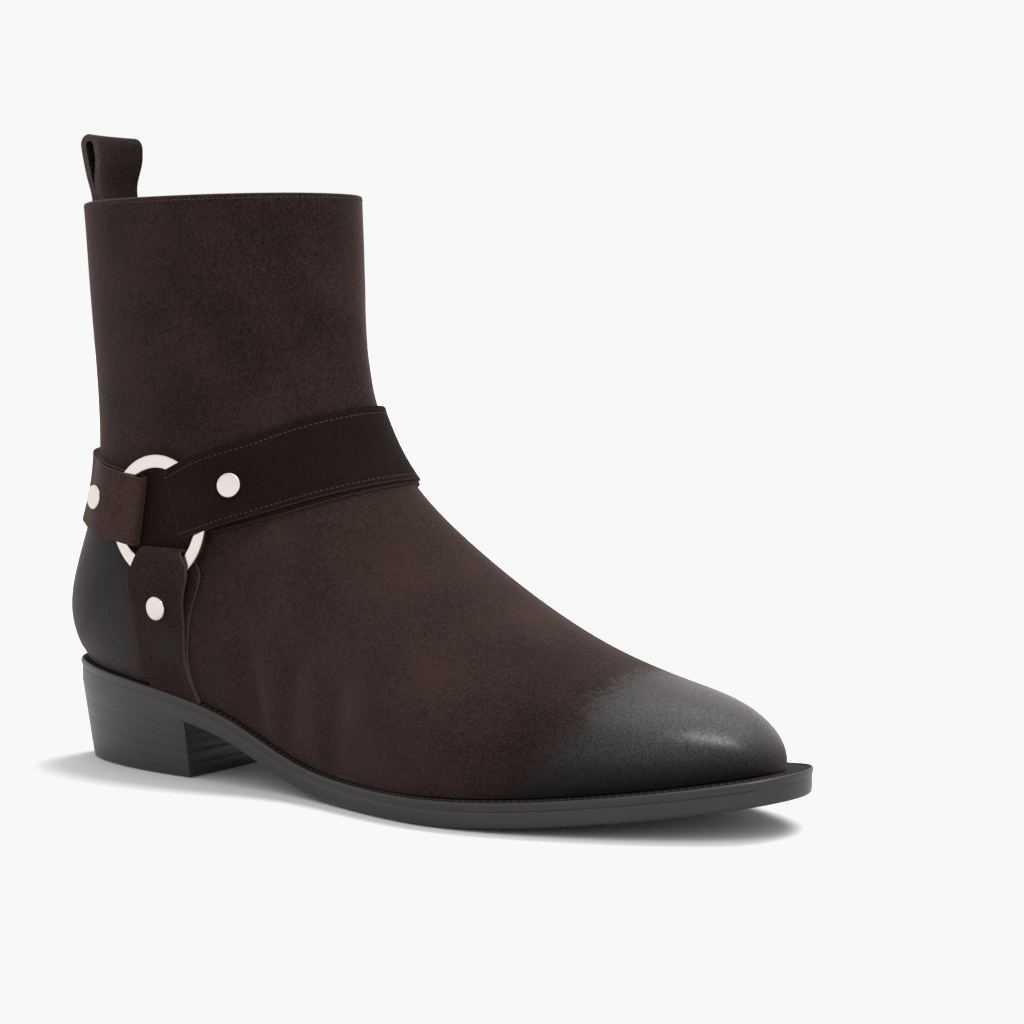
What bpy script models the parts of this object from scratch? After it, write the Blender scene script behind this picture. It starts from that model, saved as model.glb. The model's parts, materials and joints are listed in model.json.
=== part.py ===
"""Harness ankle boot for the right foot, at its real size in metres, +Z up, standing on z = 0.

The toe points along +X, the outer side faces -Y and the inner side faces +Y. Sizes below are in
millimetres, measured from a datum under the ball of the foot; the empty "boot" then carries every
piece so that the whole boot is centred over the origin.
"""

import math

import bmesh
import bpy
import numpy as np
from mathutils import Vector
from mathutils.bvhtree import BVHTree

# Driving dimensions, in millimetres
HEEL_X = -158.0          # back end of the feather line, where the upper meets the welt
TOE_X = 137.0            # front end of the feather line
WALL = 2.2               # leather and lining of the upper together
GAP = 0.4                # clearance between pieces that follow the same curve
FLAT_GAP = 0.3           # clearance between pieces that meet on a plain face
SOLE_THICK = 8.9         # welt and outsole together
WELT_THICK = 3.2
INSOLE_RISE = 1.2        # insole surface above the top of the welt
BREAST_X = -86.0         # front face of the heel
HEEL_BACK_TAPER = 4.6    # how far the back of the heel leans in from top to floor
HEEL_SIDE_TAPER = 0.10   # share of its width that the heel loses from top to floor
TOP_PIECE = 4.6          # wearing layer of the heel

RING_X = -91.0           # ring centre, along the boot
RING_Z = 95.3            # ring centre, above the floor
RING_OUTER = 23.0
RING_INNER = 18.0
RING_THICK = 2.6
RING_TURN = math.radians(2.5)   # the rings face a little to the back
PLY = 1.3                # one layer of harness strap
RING_PLAY = 0.3          # clearance round the ring inside a strap fold
INSTEP_RISE = math.radians(18.5)
HEEL_STRAP_RISE = math.radians(10.5)
INSTEP_PIVOT = 21.0      # from the ring to the middle of the bend over the instep
INSTEP_LIFT = 2.0        # the middle of the instep strap passes this far above the ring centre
HEEL_STRAP_PIVOT = 29.0
INSTEP_TIP = 8.4         # from the ring centre to the tip of the fold
HEEL_STRAP_TIP = 9.0
ANCHOR_TIP = 10.6
STRAP_GAP = 0.6          # clearance under the straps, whose facets bridge the curve of the upper
ANCHOR_END = 1.7         # thickness of the anchor strap where it goes into the welt seam
STRAP_STEP = 5.5         # longest straight facet along a strap

RIVET_RADIUS = 4.5
RIVET_HEIGHT = 1.3
RIVET_SEAT = 0.35        # clearance over the highest leather under a rivet
INSTEP_RIVET = 33.8      # rivet centres, from the ring centre along each strap
HEEL_STRAP_RIVET = 33.2
ANCHOR_RIVET = 32.4

LOOP_TOP = 235.8
LOOP_BOTTOM = 194.0
LOOP_JOIN = 214.0
LOOP_HALF_WIDTH = 13.2
LOOP_PLY = 2.4
LOOP_SHIFT = -5.5        # middle of the loop, to the outer side of the back seam
LOOP_DEPTH = 8.6         # front to back over the eye of the loop
LOOP_LEAN = 1.4          # how far the loop leans to the back above the collar
LOOP_LEAN_RISE = 12.0    # height over which it leans

# Half widths of the feather line: share of the foot length, outer side, inner side
FEATHER = (
    (0.00, 0.0, 0.0),
    (0.06, 20.5, 20.5),
    (0.15, 29.0, 28.5),
    (0.27, 32.0, 30.5),
    (0.40, 34.8, 29.0),
    (0.52, 44.6, 33.0),
    (0.63, 52.2, 41.5),
    (0.71, 50.6, 45.0),
    (0.80, 42.0, 43.0),
    (0.90, 27.0, 32.0),
    (0.96, 13.5, 20.5),
    (1.00, -4.5, 4.5),
)

# Sole edge beyond the feather line: share of the foot length, margin
SOLE_MARGIN = ((0.0, 2.6), (0.2, 2.7), (0.45, 3.6), (0.7, 4.2), (0.88, 5.4), (1.0, 8.8))

# Top of the welt along the boot: x, height. Heel seat, waist, flat tread, toe spring
SEAT_LINE = (
    (-158, 38.0), (-130, 35.4), (-108, 33.0), (-85, 29.4), (-64, 23.8), (-48, 17.6), (-34, 12.9),
    (-18, 10.0), (2, 8.9), (34, 8.9), (62, 10.1), (88, 12.4), (110, 15.0), (125, 17.1), (137, 19.0),
)

# Sections of the last, from the toe to the collar. Each leans from a foot point (x, height; None is on
# the welt) to a top point (x, height): half widths outer and inner, share of the rise where it is
# widest, fullness of its curve, and how far the ridge lies to the inner side
LAST = (
    (137.0, None, 137.0, 19.0, -4.5, 4.5, 0.30, 2.20, 4.5),
    (135.8, None, 135.8, 24.4, 2.0, 10.8, 0.30, 2.20, 4.5),
    (132.2, None, 132.2, 30.2, 8.5, 17.0, 0.30, 2.20, 4.5),
    (126.0, None, 126.0, 35.4, 15.2, 23.2, 0.30, 2.20, 4.5),
    (116.5, None, 116.5, 40.0, 23.3, 30.2, 0.30, 2.20, 4.5),
    (104.0, None, 104.0, 43.8, 32.0, 37.2, 0.30, 2.10, 4.5),
    (86.0, None, 86.0, 48.2, 41.6, 43.6, 0.30, 2.00, 4.5),
    (62.0, None, 62.0, 56.6, 49.8, 46.6, 0.30, 1.90, 4.5),
    (36.0, None, 37.0, 70.4, 53.4, 43.5, 0.30, 1.85, 4.0),
    (8.0, None, 14.0, 86.6, 49.4, 37.5, 0.32, 1.85, 3.0),
    (-23.0, None, -5.6, 102.6, 41.5, 34.0, 0.34, 1.90, 2.0),
    (-58.0, None, -19.4, 118.0, 37.0, 33.5, 0.36, 2.00, 1.0),
    (-95.0, None, -26.8, 132.0, 36.0, 34.0, 0.38, 2.05, 0.5),
    (-130.0, None, -30.0, 143.0, 35.5, 34.0, 0.40, 2.10, 0.0),
    (-150.5, None, -31.2, 151.0, 35.2, 34.0, 0.42, 2.10, 0.0),
    (-158.0, None, -32.0, 156.5, 35.2, 34.0, 0.43, 2.10, 0.0),
    (-160.8, 43.5, -32.5, 161.0, 35.2, 34.0, 0.43, 2.10, 0.0),
    (-162.4, 56.5, -33.0, 166.0, 35.0, 34.0, 0.45, 2.10, 0.0),
    (-155.0, 78.0, -33.6, 173.0, 35.0, 34.0, 0.45, 2.10, 0.0),
    (-147.6, 101.0, -34.2, 181.0, 35.2, 34.5, 0.45, 2.10, 0.0),
    (-145.9, 123.0, -34.8, 188.0, 35.8, 35.3, 0.45, 2.10, 0.0),
    (-147.0, 147.0, -35.3, 195.0, 36.6, 36.3, 0.45, 2.10, 0.0),
    (-149.4, 177.0, -35.9, 203.0, 37.4, 37.2, 0.45, 2.10, 0.0),
    (-151.5, 209.8, -36.5, 211.6, 38.2, 38.0, 0.45, 2.10, 0.0),
)
HEEL_ROW = 15            # section whose two feather ends meet at the back of the heel

# Anchor strap: distance below the ring centre, shift to the front, half width, turned-under layer
ANCHOR = (
    (9.0, 1.6, 8.8, 0.0),
    (12.0, 1.6, 10.1, 0.6),
    (16.0, 1.5, 12.6, 2.0),
    (30.0, -1.4, 12.4, 2.2),
    (45.0, -3.9, 11.5, 0.5),
    (57.0, -2.2, 11.4, 0.0),
    (66.0, 1.0, 12.6, 0.0),
)

# Instep strap half width: share of its length from ring to ring
INSTEP_WIDTH = ((0.0, 11.9), (0.1, 13.7), (0.25, 15.3), (0.5, 15.8), (0.75, 15.3), (0.9, 13.7), (1.0, 11.9))
HEEL_STRAP_WIDTH = ((0.0, 12.5), (0.5, 12.9), (1.0, 12.5))

ROW_SPLIT = 2            # facets between two sections of the last
HALF_COLUMNS = 13        # facets from the feather line to the ridge
SOLE_STATIONS = 36
HEEL_STATIONS = 10
STRAP_COLUMNS = 4
SEAM_OFFSET = 0.02       # keeps measuring lines off the back seam
OUTER = -1               # side of the boot: sign of y
INNER = 1


# Curves and surfaces of the last

def natural_spline(knots, values):
    """Smooth curve through the values at the knots, with free ends."""
    knots = np.asarray(knots, float)
    values = np.asarray(values, float)
    steps = np.diff(knots)
    system = np.eye(len(knots))
    right = np.zeros_like(values)
    for i in range(1, len(knots) - 1):
        system[i, i - 1:i + 2] = steps[i - 1], 2 * (steps[i - 1] + steps[i]), steps[i]
        after = (values[i + 1] - values[i]) / steps[i]
        before = (values[i] - values[i - 1]) / steps[i - 1]
        right[i] = 6 * (after - before)
    bend = np.linalg.solve(system, right)

    def curve(at):
        i = int(np.clip(np.searchsorted(knots, at) - 1, 0, len(knots) - 2))
        run = at - knots[i]
        slope = (values[i + 1] - values[i]) / steps[i] - steps[i] * (2 * bend[i] + bend[i + 1]) / 6
        return values[i] + run * (slope + run * (bend[i] / 2 + run * (bend[i + 1] - bend[i]) / (6 * steps[i])))

    return curve


def sweep_of(share):
    """Half turn from heel to toe, 0 to 1, that makes both ends of an outline round."""
    return math.acos(min(1.0, max(-1.0, 1 - 2 * share))) / math.pi


def share_of(sweep):
    return (1 - math.cos(math.pi * sweep)) / 2


def table_curve(table, knot=lambda value: value):
    """Curve through a table whose first column is the knot."""
    return natural_spline([knot(row[0]) for row in table], [row[1:] for row in table])


def smooth(value):
    value = min(1.0, max(0.0, value))
    return value * value * (3 - 2 * value)


feather_curve = table_curve(FEATHER, sweep_of)
margin_curve = table_curve(SOLE_MARGIN, sweep_of)
seat_curve = table_curve(SEAT_LINE)
anchor_curve = table_curve(ANCHOR)
instep_width = table_curve(INSTEP_WIDTH)
heel_strap_width = table_curve(HEEL_STRAP_WIDTH)


def seat(x):
    """Height of the top of the welt."""
    return float(seat_curve(x)[0])


def tread(x):
    """Height of the underside of the outsole, flat where it stands on the floor."""
    return max(seat(x) - SOLE_THICK, 0.0)


def last_columns():
    """Curves of the table of sections, and of the foot points on the welt and up the back seam.

    Both runs of foot points are mirrored past the heel row, so they come to it at rest and the cup of
    the heel has no crease there.
    """
    rows = [[seat(row[0]) + GAP if value is None else value for value in row] for row in LAST]
    rows[0][3] = rows[0][1]
    feet = [row[:2] for row in rows]
    on_welt = feet[:HEEL_ROW + 1] + feet[HEEL_ROW - 1:HEEL_ROW - 4:-1]
    up_seam = feet[HEEL_ROW + 3:HEEL_ROW:-1] + feet[HEEL_ROW:]
    return (
        natural_spline(range(len(rows)), rows),
        natural_spline(range(len(on_welt)), on_welt),
        natural_spline(range(HEEL_ROW - 3, len(rows)), up_seam),
    )


last_curve, welt_feet, seam_feet = last_columns()


def half_section(side, width, foot, wide, power, ridge):
    """Rise share and y of one side of a section, from the feather line up to the ridge."""
    reach = width - side * ridge
    start = math.acos(min(0.995, max(0.0, (foot - side * ridge) / max(reach, 1e-6))) ** (power / 2))
    under = wide / math.sin(start) ** (2 / power) if start > 1e-4 else 0.0
    points = []
    for i in range(HALF_COLUMNS + 1):
        angle = -start + (math.pi / 2 + start) * i / HALF_COLUMNS
        rise = math.copysign(abs(math.sin(angle)) ** (2 / power), math.sin(angle))
        share = wide + rise * (under if angle < 0 else 1 - wide)
        points.append((share, ridge + side * reach * abs(math.cos(angle)) ** (2 / power)))
    return points


def section(row):
    """Points of one section: outer feather line, over the ridge, to the inner feather line."""
    top_x, top_z, outer, inner, wide, power, ridge = last_curve(row)[2:]
    if row <= HEEL_ROW:
        foot_x = welt_feet(row)[0]
        foot_z = seat(foot_x) + GAP
        feet = feather_curve(sweep_of((foot_x - HEEL_X) / (TOE_X - HEEL_X)))
    else:
        foot_x, foot_z = seam_feet(row)
        feet = (0.0, 0.0)
        ridge = 0.0
    points = half_section(OUTER, outer, feet[0], wide, power, ridge)
    points += reversed(half_section(INNER, inner, feet[1], wide, power, ridge)[:-1])
    return [(foot_x + (top_x - foot_x) * share, y, foot_z + (top_z - foot_z) * share) for share, y in points]


def upper_grid():
    """Rows of points over the last; the halfway rows that crowd at the heel row are left out."""
    rows = [i / ROW_SPLIT for i in range(ROW_SPLIT * (len(LAST) - 1) + 1)]
    return [section(row) for row in rows if row == HEEL_ROW or abs(row - HEEL_ROW) >= 1]


# Mesh helpers

boot = None
last_tree = None


def material(name, colour, roughness, metallic=0.0):
    finish = bpy.data.materials.new(name)
    finish.use_nodes = True
    shader = finish.node_tree.nodes["Principled BSDF"]
    shader.inputs["Base Color"].default_value = (*colour, 1.0)
    shader.inputs["Roughness"].default_value = roughness
    shader.inputs["Metallic"].default_value = metallic
    return finish


def solid(name, points, faces, finish, closed=True, sharp=35.0):
    """Object with its own material from points in millimetres; doubled points become one."""
    mesh = bpy.data.meshes.new(name)
    mesh.from_pydata([Vector(point) * 0.001 for point in points], [], faces)
    shape = bmesh.new()
    shape.from_mesh(mesh)
    bmesh.ops.remove_doubles(shape, verts=shape.verts, dist=1e-6)
    bmesh.ops.dissolve_degenerate(shape, edges=shape.edges, dist=1e-6)
    if closed:
        bmesh.ops.recalc_face_normals(shape, faces=shape.faces)
    shape.to_mesh(mesh)
    shape.free()
    mesh.shade_smooth()
    mesh.set_sharp_from_angle(angle=math.radians(sharp))
    mesh.materials.append(finish)
    piece = bpy.data.objects.new(name, mesh)
    piece.parent = boot
    bpy.context.collection.objects.link(piece)
    return piece


def loft(loops, wrap=False):
    """Side faces between loops of equal length; wrap joins the last loop to the first."""
    size = len(loops[0])
    points = [point for loop in loops for point in loop]
    faces = []
    for level in range(len(loops) if wrap else len(loops) - 1):
        low = level * size
        high = (level + 1) % len(loops) * size
        for i in range(size):
            j = (i + 1) % size
            faces.append((low + i, low + j, high + j, high + i))
    return points, faces


def cross_cap(first, size):
    """Faces that close a mirrored loop from its one end to the other, point to opposite point."""
    half = size // 2
    faces = []
    for k in range(half):
        right = (first + k, first + k + 1)
        left = (first + (size - k) % size, first + (size - k - 1) % size)
        faces.append(tuple(dict.fromkeys((right[0], right[1], left[1], left[0]))))
    return faces


# Sole, heel and insole

def outline(grow, height):
    """Loop round the foot: the feather line grown by a margin, at a height that depends on x."""
    back = HEEL_X - grow(0.0)
    front = TOE_X + grow(1.0)
    outer = []
    inner = []
    for k in range(SOLE_STATIONS + 1):
        sweep = k / SOLE_STATIONS
        x = back + (front - back) * share_of(sweep)
        ends = min(1.0, 3 * math.sin(math.pi * sweep))
        side = feather_curve(sweep) + grow(sweep) * ends
        outer.append((x, -side[0], height(x)))
        inner.append((x, side[1], height(x)))
    return outer + inner[-2:0:-1]


def edge(inset):
    return lambda sweep: float(margin_curve(sweep)[0]) - inset


def inside(inset):
    return lambda sweep: -inset


def make_outsole(finish):
    top = WELT_THICK + FLAT_GAP
    loops = [
        outline(edge(1.8), tread),
        outline(edge(0.9), lambda x: tread(x) + 0.4),
        outline(edge(0.5), lambda x: tread(x) + 1.2),
        outline(edge(0.5), lambda x: seat(x) - top - 0.4),
        outline(edge(0.9), lambda x: seat(x) - top),
    ]
    points, faces = loft(loops)
    size = len(loops[0])
    faces += cross_cap(0, size) + cross_cap(size * (len(loops) - 1), size)
    return solid("outsole", points, faces, finish)


def make_welt(finish):
    loops = [
        outline(inside(2.6), lambda x: seat(x) - WELT_THICK),
        outline(edge(0.4), lambda x: seat(x) - WELT_THICK),
        outline(edge(0.0), lambda x: seat(x) - WELT_THICK + 0.5),
        outline(edge(0.0), lambda x: seat(x) - 0.9),
        outline(edge(0.8), seat),
        outline(inside(2.6), seat),
    ]
    points, faces = loft(loops, wrap=True)
    return solid("welt", points, faces, finish)


def make_insole(finish):
    inset = WALL + 1.2
    loops = [
        outline(inside(inset), lambda x: seat(x) - WELT_THICK),
        outline(inside(inset), lambda x: seat(x) + INSOLE_RISE - 0.6),
        outline(inside(inset + 0.6), lambda x: seat(x) + INSOLE_RISE),
    ]
    points, faces = loft(loops)
    size = len(loops[0])
    faces += cross_cap(0, size) + cross_cap(size * 2, size)
    return solid("insole", points, faces, finish)


def heel_loop(height, inset=0.0):
    """Loop round the heel, from the outer breast corner round the back to the inner one."""
    back = HEEL_X - edge(0.5)(0.0)
    front = TOE_X + edge(0.5)(1.0)
    breast = sweep_of((BREAST_X - back) / (front - back))
    outer = []
    inner = []
    for k in range(HEEL_STATIONS + 1):
        sweep = breast * k / HEEL_STATIONS
        x = back + (front - back) * share_of(sweep)
        z = height(x)
        drop = 1 - z / (tread(x) - FLAT_GAP)
        side = feather_curve(sweep) + edge(0.5)(sweep) * min(1.0, 3 * math.sin(math.pi * sweep))
        lean = 1 - drop * HEEL_BACK_TAPER / (BREAST_X - back)
        narrow = 1 - drop * HEEL_SIDE_TAPER - inset / side.max() if k else 1.0
        heel_x = BREAST_X - inset + (x - BREAST_X) * (lean - inset / (BREAST_X - back) * 2)
        outer.append((heel_x, -side[0] * narrow, z))
        inner.append((heel_x, side[1] * narrow, z))
    return outer + inner[:0:-1]


def heel_solid(name, levels, finish):
    """Stack of heel loops closed across at the top and at the bottom."""
    loops = [heel_loop(height, inset) for height, inset in levels]
    points, faces = loft(loops)
    size = len(loops[0])
    for first in (0, size * (len(loops) - 1)):
        for k in range(HEEL_STATIONS):
            right = (first + k, first + k + 1)
            left = (first + (size - k) % size, first + size - k - 1)
            faces.append(tuple(dict.fromkeys((right[0], right[1], left[1], left[0]))))
    return solid(name, points, faces, finish)


def make_heel_block(finish):
    levels = (
        (lambda x: TOP_PIECE + FLAT_GAP, 0.0),
        (lambda x: tread(x) - FLAT_GAP, 0.0),
    )
    return heel_solid("heel_block", levels, finish)


def make_heel_top_piece(finish):
    levels = (
        (lambda x: 0.0, 1.0),
        (lambda x: 0.8, 0.4),
        (lambda x: TOP_PIECE, 0.4),
    )
    return heel_solid("heel_top_piece", levels, finish)


# Upper

def make_upper(finish):
    grid = upper_grid()
    size = len(grid[0])
    points = [point for row in grid for point in row]
    faces = []
    for r in range(len(grid) - 1):
        for c in range(size - 1):
            low = r * size + c
            faces.append((low, low + 1, low + size + 1, low + size))
    upper = solid("upper", points, faces, finish, closed=False, sharp=60.0)
    wall = upper.modifiers.new("wall", "SOLIDIFY")
    wall.thickness = WALL * 0.001
    wall.offset = -1.0
    wall.use_even_offset = True
    wall.use_quality_normals = True
    tree = BVHTree.FromPolygons([Vector(point) for point in points], faces)
    return upper, tree


# Harness

def strike(origin, direction):
    """Point of the upper's outer face that a straight line from the inside meets, clear of its seam."""
    origin = Vector(origin) + Vector((0.0, SEAM_OFFSET, 0.0))
    hit = last_tree.ray_cast(origin, Vector(direction).normalized())[0]
    return np.array(hit)


def ring_frame(side):
    """Centre of the ring's seat on one side, and its forward, upward and outward directions."""
    forward = np.array((math.cos(RING_TURN), side * math.sin(RING_TURN), 0.0))
    upward = np.array((0.0, 0.0, 1.0))
    outward = np.array((-math.sin(RING_TURN), side * math.cos(RING_TURN), 0.0))
    flat = np.array((RING_X, 0.0, RING_Z))
    highest = 0.0
    for turn in range(16):
        angle = turn * math.pi / 8
        for radius in (0.0, RING_INNER, RING_OUTER + 2):
            x = RING_X + radius * math.cos(angle)
            z = RING_Z + radius * math.sin(angle)
            touch = strike((x, 0.0, z), (0.0, side, 0.0))
            highest = max(highest, float(np.dot(touch - flat, outward)))
    return flat + outward * (highest + GAP), forward, upward, outward


def ring_height():
    """Middle of the ring above its seat."""
    return PLY + RING_PLAY + RING_THICK / 2


def make_ring(name, frame, finish):
    centre, forward, upward, outward = frame
    half = RING_THICK / 2
    chamfer = 0.6
    profile = (
        (RING_INNER, -half + chamfer), (RING_INNER + chamfer, -half), (RING_OUTER - chamfer, -half),
        (RING_OUTER, -half + chamfer), (RING_OUTER, half - chamfer), (RING_OUTER - chamfer, half),
        (RING_INNER + chamfer, half), (RING_INNER, half - chamfer),
    )
    segments = 36
    loops = []
    for k in range(segments):
        angle = 2 * math.pi * k / segments
        spoke = forward * math.cos(angle) + upward * math.sin(angle)
        loops.append([centre + spoke * radius + outward * (ring_height() + h) for radius, h in profile])
    points, faces = loft(loops, wrap=True)
    return solid(name, points, faces, finish, sharp=50.0)


def fold_contours(ply, eye, straight, join):
    """Outer and inner contour of a folded strap end, as (distance from the tip, height above the seat)."""
    radius = eye / 2 + ply
    middle = (radius, radius)
    bend = [math.radians(angle) for angle in (-90, -120, -150, 180, 150, 120, 90)]
    runs = ((join, 0.0), ((straight + join) / 2, 0.0), (straight, 0.0), ((straight + radius) / 2, 0.0))
    close = ply * 2
    slope = (2 * radius + close) / 2
    outer = list(runs)
    inner = [(l, ply) for l, h in runs]
    for angle in bend:
        outer.append((middle[0] + radius * math.cos(angle), middle[1] + radius * math.sin(angle)))
        inner.append((middle[0] + eye / 2 * math.cos(angle), middle[1] + eye / 2 * math.sin(angle)))
    for (l, h), top in zip(reversed(runs), (2 * radius, 2 * radius, slope, close)):
        outer.append((l, top))
        inner.append((l, top - ply))
    return outer, inner


def strap_profile(ply, eye, straight, join, start, end, both, thin_end=None):
    """Side view of a strap as points (distance, height) and faces; folded at its start, or at both ends."""
    points = []
    faces = []

    def add_fold(tip, sign):
        outer, inner = fold_contours(ply, eye, straight, join)
        first = len(points)
        points.extend((tip + sign * l, h) for l, h in outer)
        points.extend((tip + sign * l, h) for l, h in inner)
        for j in range(len(outer) - 1):
            low = first + j
            faces.append((low, low + 1, low + 1 + len(outer), low + len(outer)))

    def add_body(begin, finish):
        count = max(2, math.ceil((finish - begin) / STRAP_STEP))
        first = len(points)
        for k in range(count + 1):
            l = begin + (finish - begin) * k / count
            thick = 2 * ply
            if thin_end:
                thick = 2 * ply + (thin_end - 2 * ply) * smooth((k / count - 0.4) / 0.6)
            points.extend(((l, 0.0), (l, thick / 2), (l, thick)))
        for k in range(count):
            low = first + 3 * k
            faces.append((low, low + 3, low + 4, low + 1))
            faces.append((low + 1, low + 4, low + 5, low + 2))

    add_fold(start, 1)
    if both:
        add_body(start + join, end - join)
        add_fold(end, -1)
    else:
        add_body(start + join, end)
    return points, faces


def sweep_strap(name, profile, place, finish):
    """Solid of a strap: its side view carried across its width, each point put in place on the upper."""
    flat, sides = profile
    merged = {}
    index = [merged.setdefault((round(l, 4), round(h, 4)), len(merged)) for l, h in flat]
    sides = [tuple(index[i] for i in face) for face in sides]
    flat = list(merged)
    seen = {}
    for face in sides:
        for a, b in zip(face, face[1:] + face[:1]):
            if (b, a) in seen:
                del seen[(b, a)]
            elif (a, b) in seen:
                del seen[(a, b)]
            else:
                seen[(a, b)] = True
    points = []
    for column in range(STRAP_COLUMNS + 1):
        across = 2 * column / STRAP_COLUMNS - 1
        points += [place(l, across, h) for l, h in flat]
    size = len(flat)
    faces = [tuple(reversed(face)) for face in sides]
    faces += [tuple(i + STRAP_COLUMNS * size for i in face) for face in sides]
    for column in range(STRAP_COLUMNS):
        low = column * size
        faces += [(low + a, low + b, low + size + b, low + size + a) for a, b in seen]
    return solid(name, points, faces, finish, sharp=40.0)


def band(heading, pivot, lift):
    """Path of a strap that runs round the upper from the outer ring to the inner ring.

    heading is its direction away from the ring in the side view, pivot the distance from the ring to
    the middle of the bend, lift how far its middle line passes above the ring centre. Returns the
    length from ring to ring and a function that puts (distance, across in mm, height) in place.
    """
    ahead = np.array((heading[0], 0.0, heading[1]))
    across_way = np.array((-heading[1], 0.0, heading[0])) * math.copysign(1.0, heading[0])
    sideways = np.array((0.0, 1.0, 0.0))
    hub = np.array((RING_X, 0.0, RING_Z)) + ahead * pivot + across_way * lift
    start = math.atan2(-35.0, -pivot)
    turns = np.linspace(start, -start, 181)
    line = np.array([strike(hub, ahead * math.cos(a) + sideways * math.sin(a)) for a in turns])
    run = np.concatenate([[0.0], np.cumsum(np.linalg.norm(np.diff(line, axis=0), axis=1))])
    length = float(run[-1])
    frames = {side: ring_frame(side) for side in (OUTER, INNER)}

    def on_upper(distance, across):
        turn = float(np.interp(distance, run, turns))
        return strike(hub + across_way * across, ahead * math.cos(turn) + sideways * math.sin(turn))

    def on_ring(side, distance, across):
        centre, forward, upward, outward = frames[side]
        along = forward * heading[0] + upward * heading[1]
        wide = (forward * -heading[1] + upward * heading[0]) * math.copysign(1.0, heading[0])
        return centre + along * distance + wide * (across + lift), outward

    def place(distance, across, height):
        step = 3.0
        near = on_upper(distance, across)
        along = on_upper(distance + step, across) - on_upper(distance - step, across)
        wide = on_upper(distance, across + step) - on_upper(distance, across - step)
        normal = np.cross(along, wide)
        normal *= math.copysign(1.0, np.dot(normal, near - hub)) / np.linalg.norm(normal)
        base = near + normal * STRAP_GAP
        side = OUTER if distance < length / 2 else INNER
        reach = min(distance, length - distance)
        seated, outward = on_ring(side, reach, across)
        loose = 1 - smooth((reach - RING_OUTER) / 22)
        base = base + (seated - base) * loose
        normal = normal + (outward - normal) * loose
        return base + normal / np.linalg.norm(normal) * height

    return length, place


def ring_fold(tip, rivet):
    """Layer, eye height, straight run and closing point of a fold that holds a ring and ends at a rivet."""
    closed = rivet - RIVET_RADIUS - 1.0
    return PLY, RING_THICK + 2 * RING_PLAY, RING_OUTER + RING_PLAY - tip, closed - tip


def band_strap(name, heading, pivot, lift, tip, rivet, width, finish):
    """Strap folded round both rings; returns its place function and its length too."""
    length, place = band(heading, pivot, lift)
    profile = strap_profile(*ring_fold(tip, rivet), tip, length - tip, True)

    def put(distance, across, height):
        return place(distance, across * float(width(distance / length)[0]), height)

    sweep_strap(name, profile, put, finish)
    return put, length


def anchor_strap(name, side, frame, finish):
    """Strap from the ring down into the seam at the welt, with its turned-under layer showing in front."""
    centre, forward, upward, outward = frame
    free = RING_OUTER
    foot = 63.0

    def put(distance, across, height):
        shift, half, tail = anchor_curve(distance)
        under = tail if height <= PLY and across > 0 else 0.0
        along = shift + across * half + max(0.0, under * across)
        floor = RING_Z - seat(RING_X + along) - GAP - FLAT_GAP
        drop = distance
        if distance > free:
            drop = free + (distance - free) * (floor - free) / (foot - free)
        z = RING_Z - drop
        step = 3.0
        ahead = (0.0, side, 0.0)
        near = strike((RING_X + along, 0.0, z), ahead)
        level = strike((RING_X + along + step, 0.0, z), ahead) - near
        rise = strike((RING_X + along, 0.0, z + step), ahead) - near
        normal = np.cross(level, rise)
        normal *= side * math.copysign(1.0, normal[1]) / np.linalg.norm(normal)
        base = near + normal * STRAP_GAP
        seated = centre + forward * along - upward * drop
        loose = 1 - smooth((distance - free) / 18)
        base = base + (seated - base) * loose
        normal = normal + (outward - normal) * loose
        return base + normal / np.linalg.norm(normal) * height

    profile = strap_profile(*ring_fold(ANCHOR_TIP, ANCHOR_RIVET), ANCHOR_TIP, foot, False, ANCHOR_END)
    sweep_strap(name, profile, put, finish)
    return put


def make_rivet(name, place, distance, finish):
    """Round cap that lies on a strap, square to the leather under it."""
    top = 2 * PLY
    share = 0.34         # rivet radius over the half width of a strap
    along = place(distance + RIVET_RADIUS, 0.0, top) - place(distance - RIVET_RADIUS, 0.0, top)
    wide = place(distance, share, top) - place(distance, -share, top)
    outward = np.cross(along, wide)
    lifted = place(distance, 0.0, top + 1.0) - place(distance, 0.0, top)
    outward *= math.copysign(1.0, np.dot(outward, lifted)) / np.linalg.norm(outward)
    along /= np.linalg.norm(along)
    wide = np.cross(outward, along)
    middle = place(distance, 0.0, top)
    rim = [place(distance + RIVET_RADIUS * i, share * j, top) for i in (-1, 0, 1) for j in (-1, 0, 1)]
    proud = max(float(np.dot(point - middle, outward)) for point in rim)
    centre = middle + outward * (proud + RIVET_SEAT)
    profile = ((1.0, 0.0), (1.0, 0.45), (0.93, 0.8), (0.72, 0.97), (0.3, 1.0))
    segments = 16
    loops = []
    for radius, height in profile:
        turns = [2 * math.pi * k / segments for k in range(segments)]
        spokes = [along * math.cos(a) + wide * math.sin(a) for a in turns]
        loops.append([centre + s * radius * RIVET_RADIUS + outward * height * RIVET_HEIGHT for s in spokes])
    points, faces = loft(loops)
    faces += [tuple(range(segments)), tuple(range(segments * (len(loops) - 1), segments * len(loops)))]
    return solid(name, points, faces, finish, sharp=45.0)


# Pull loop

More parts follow.
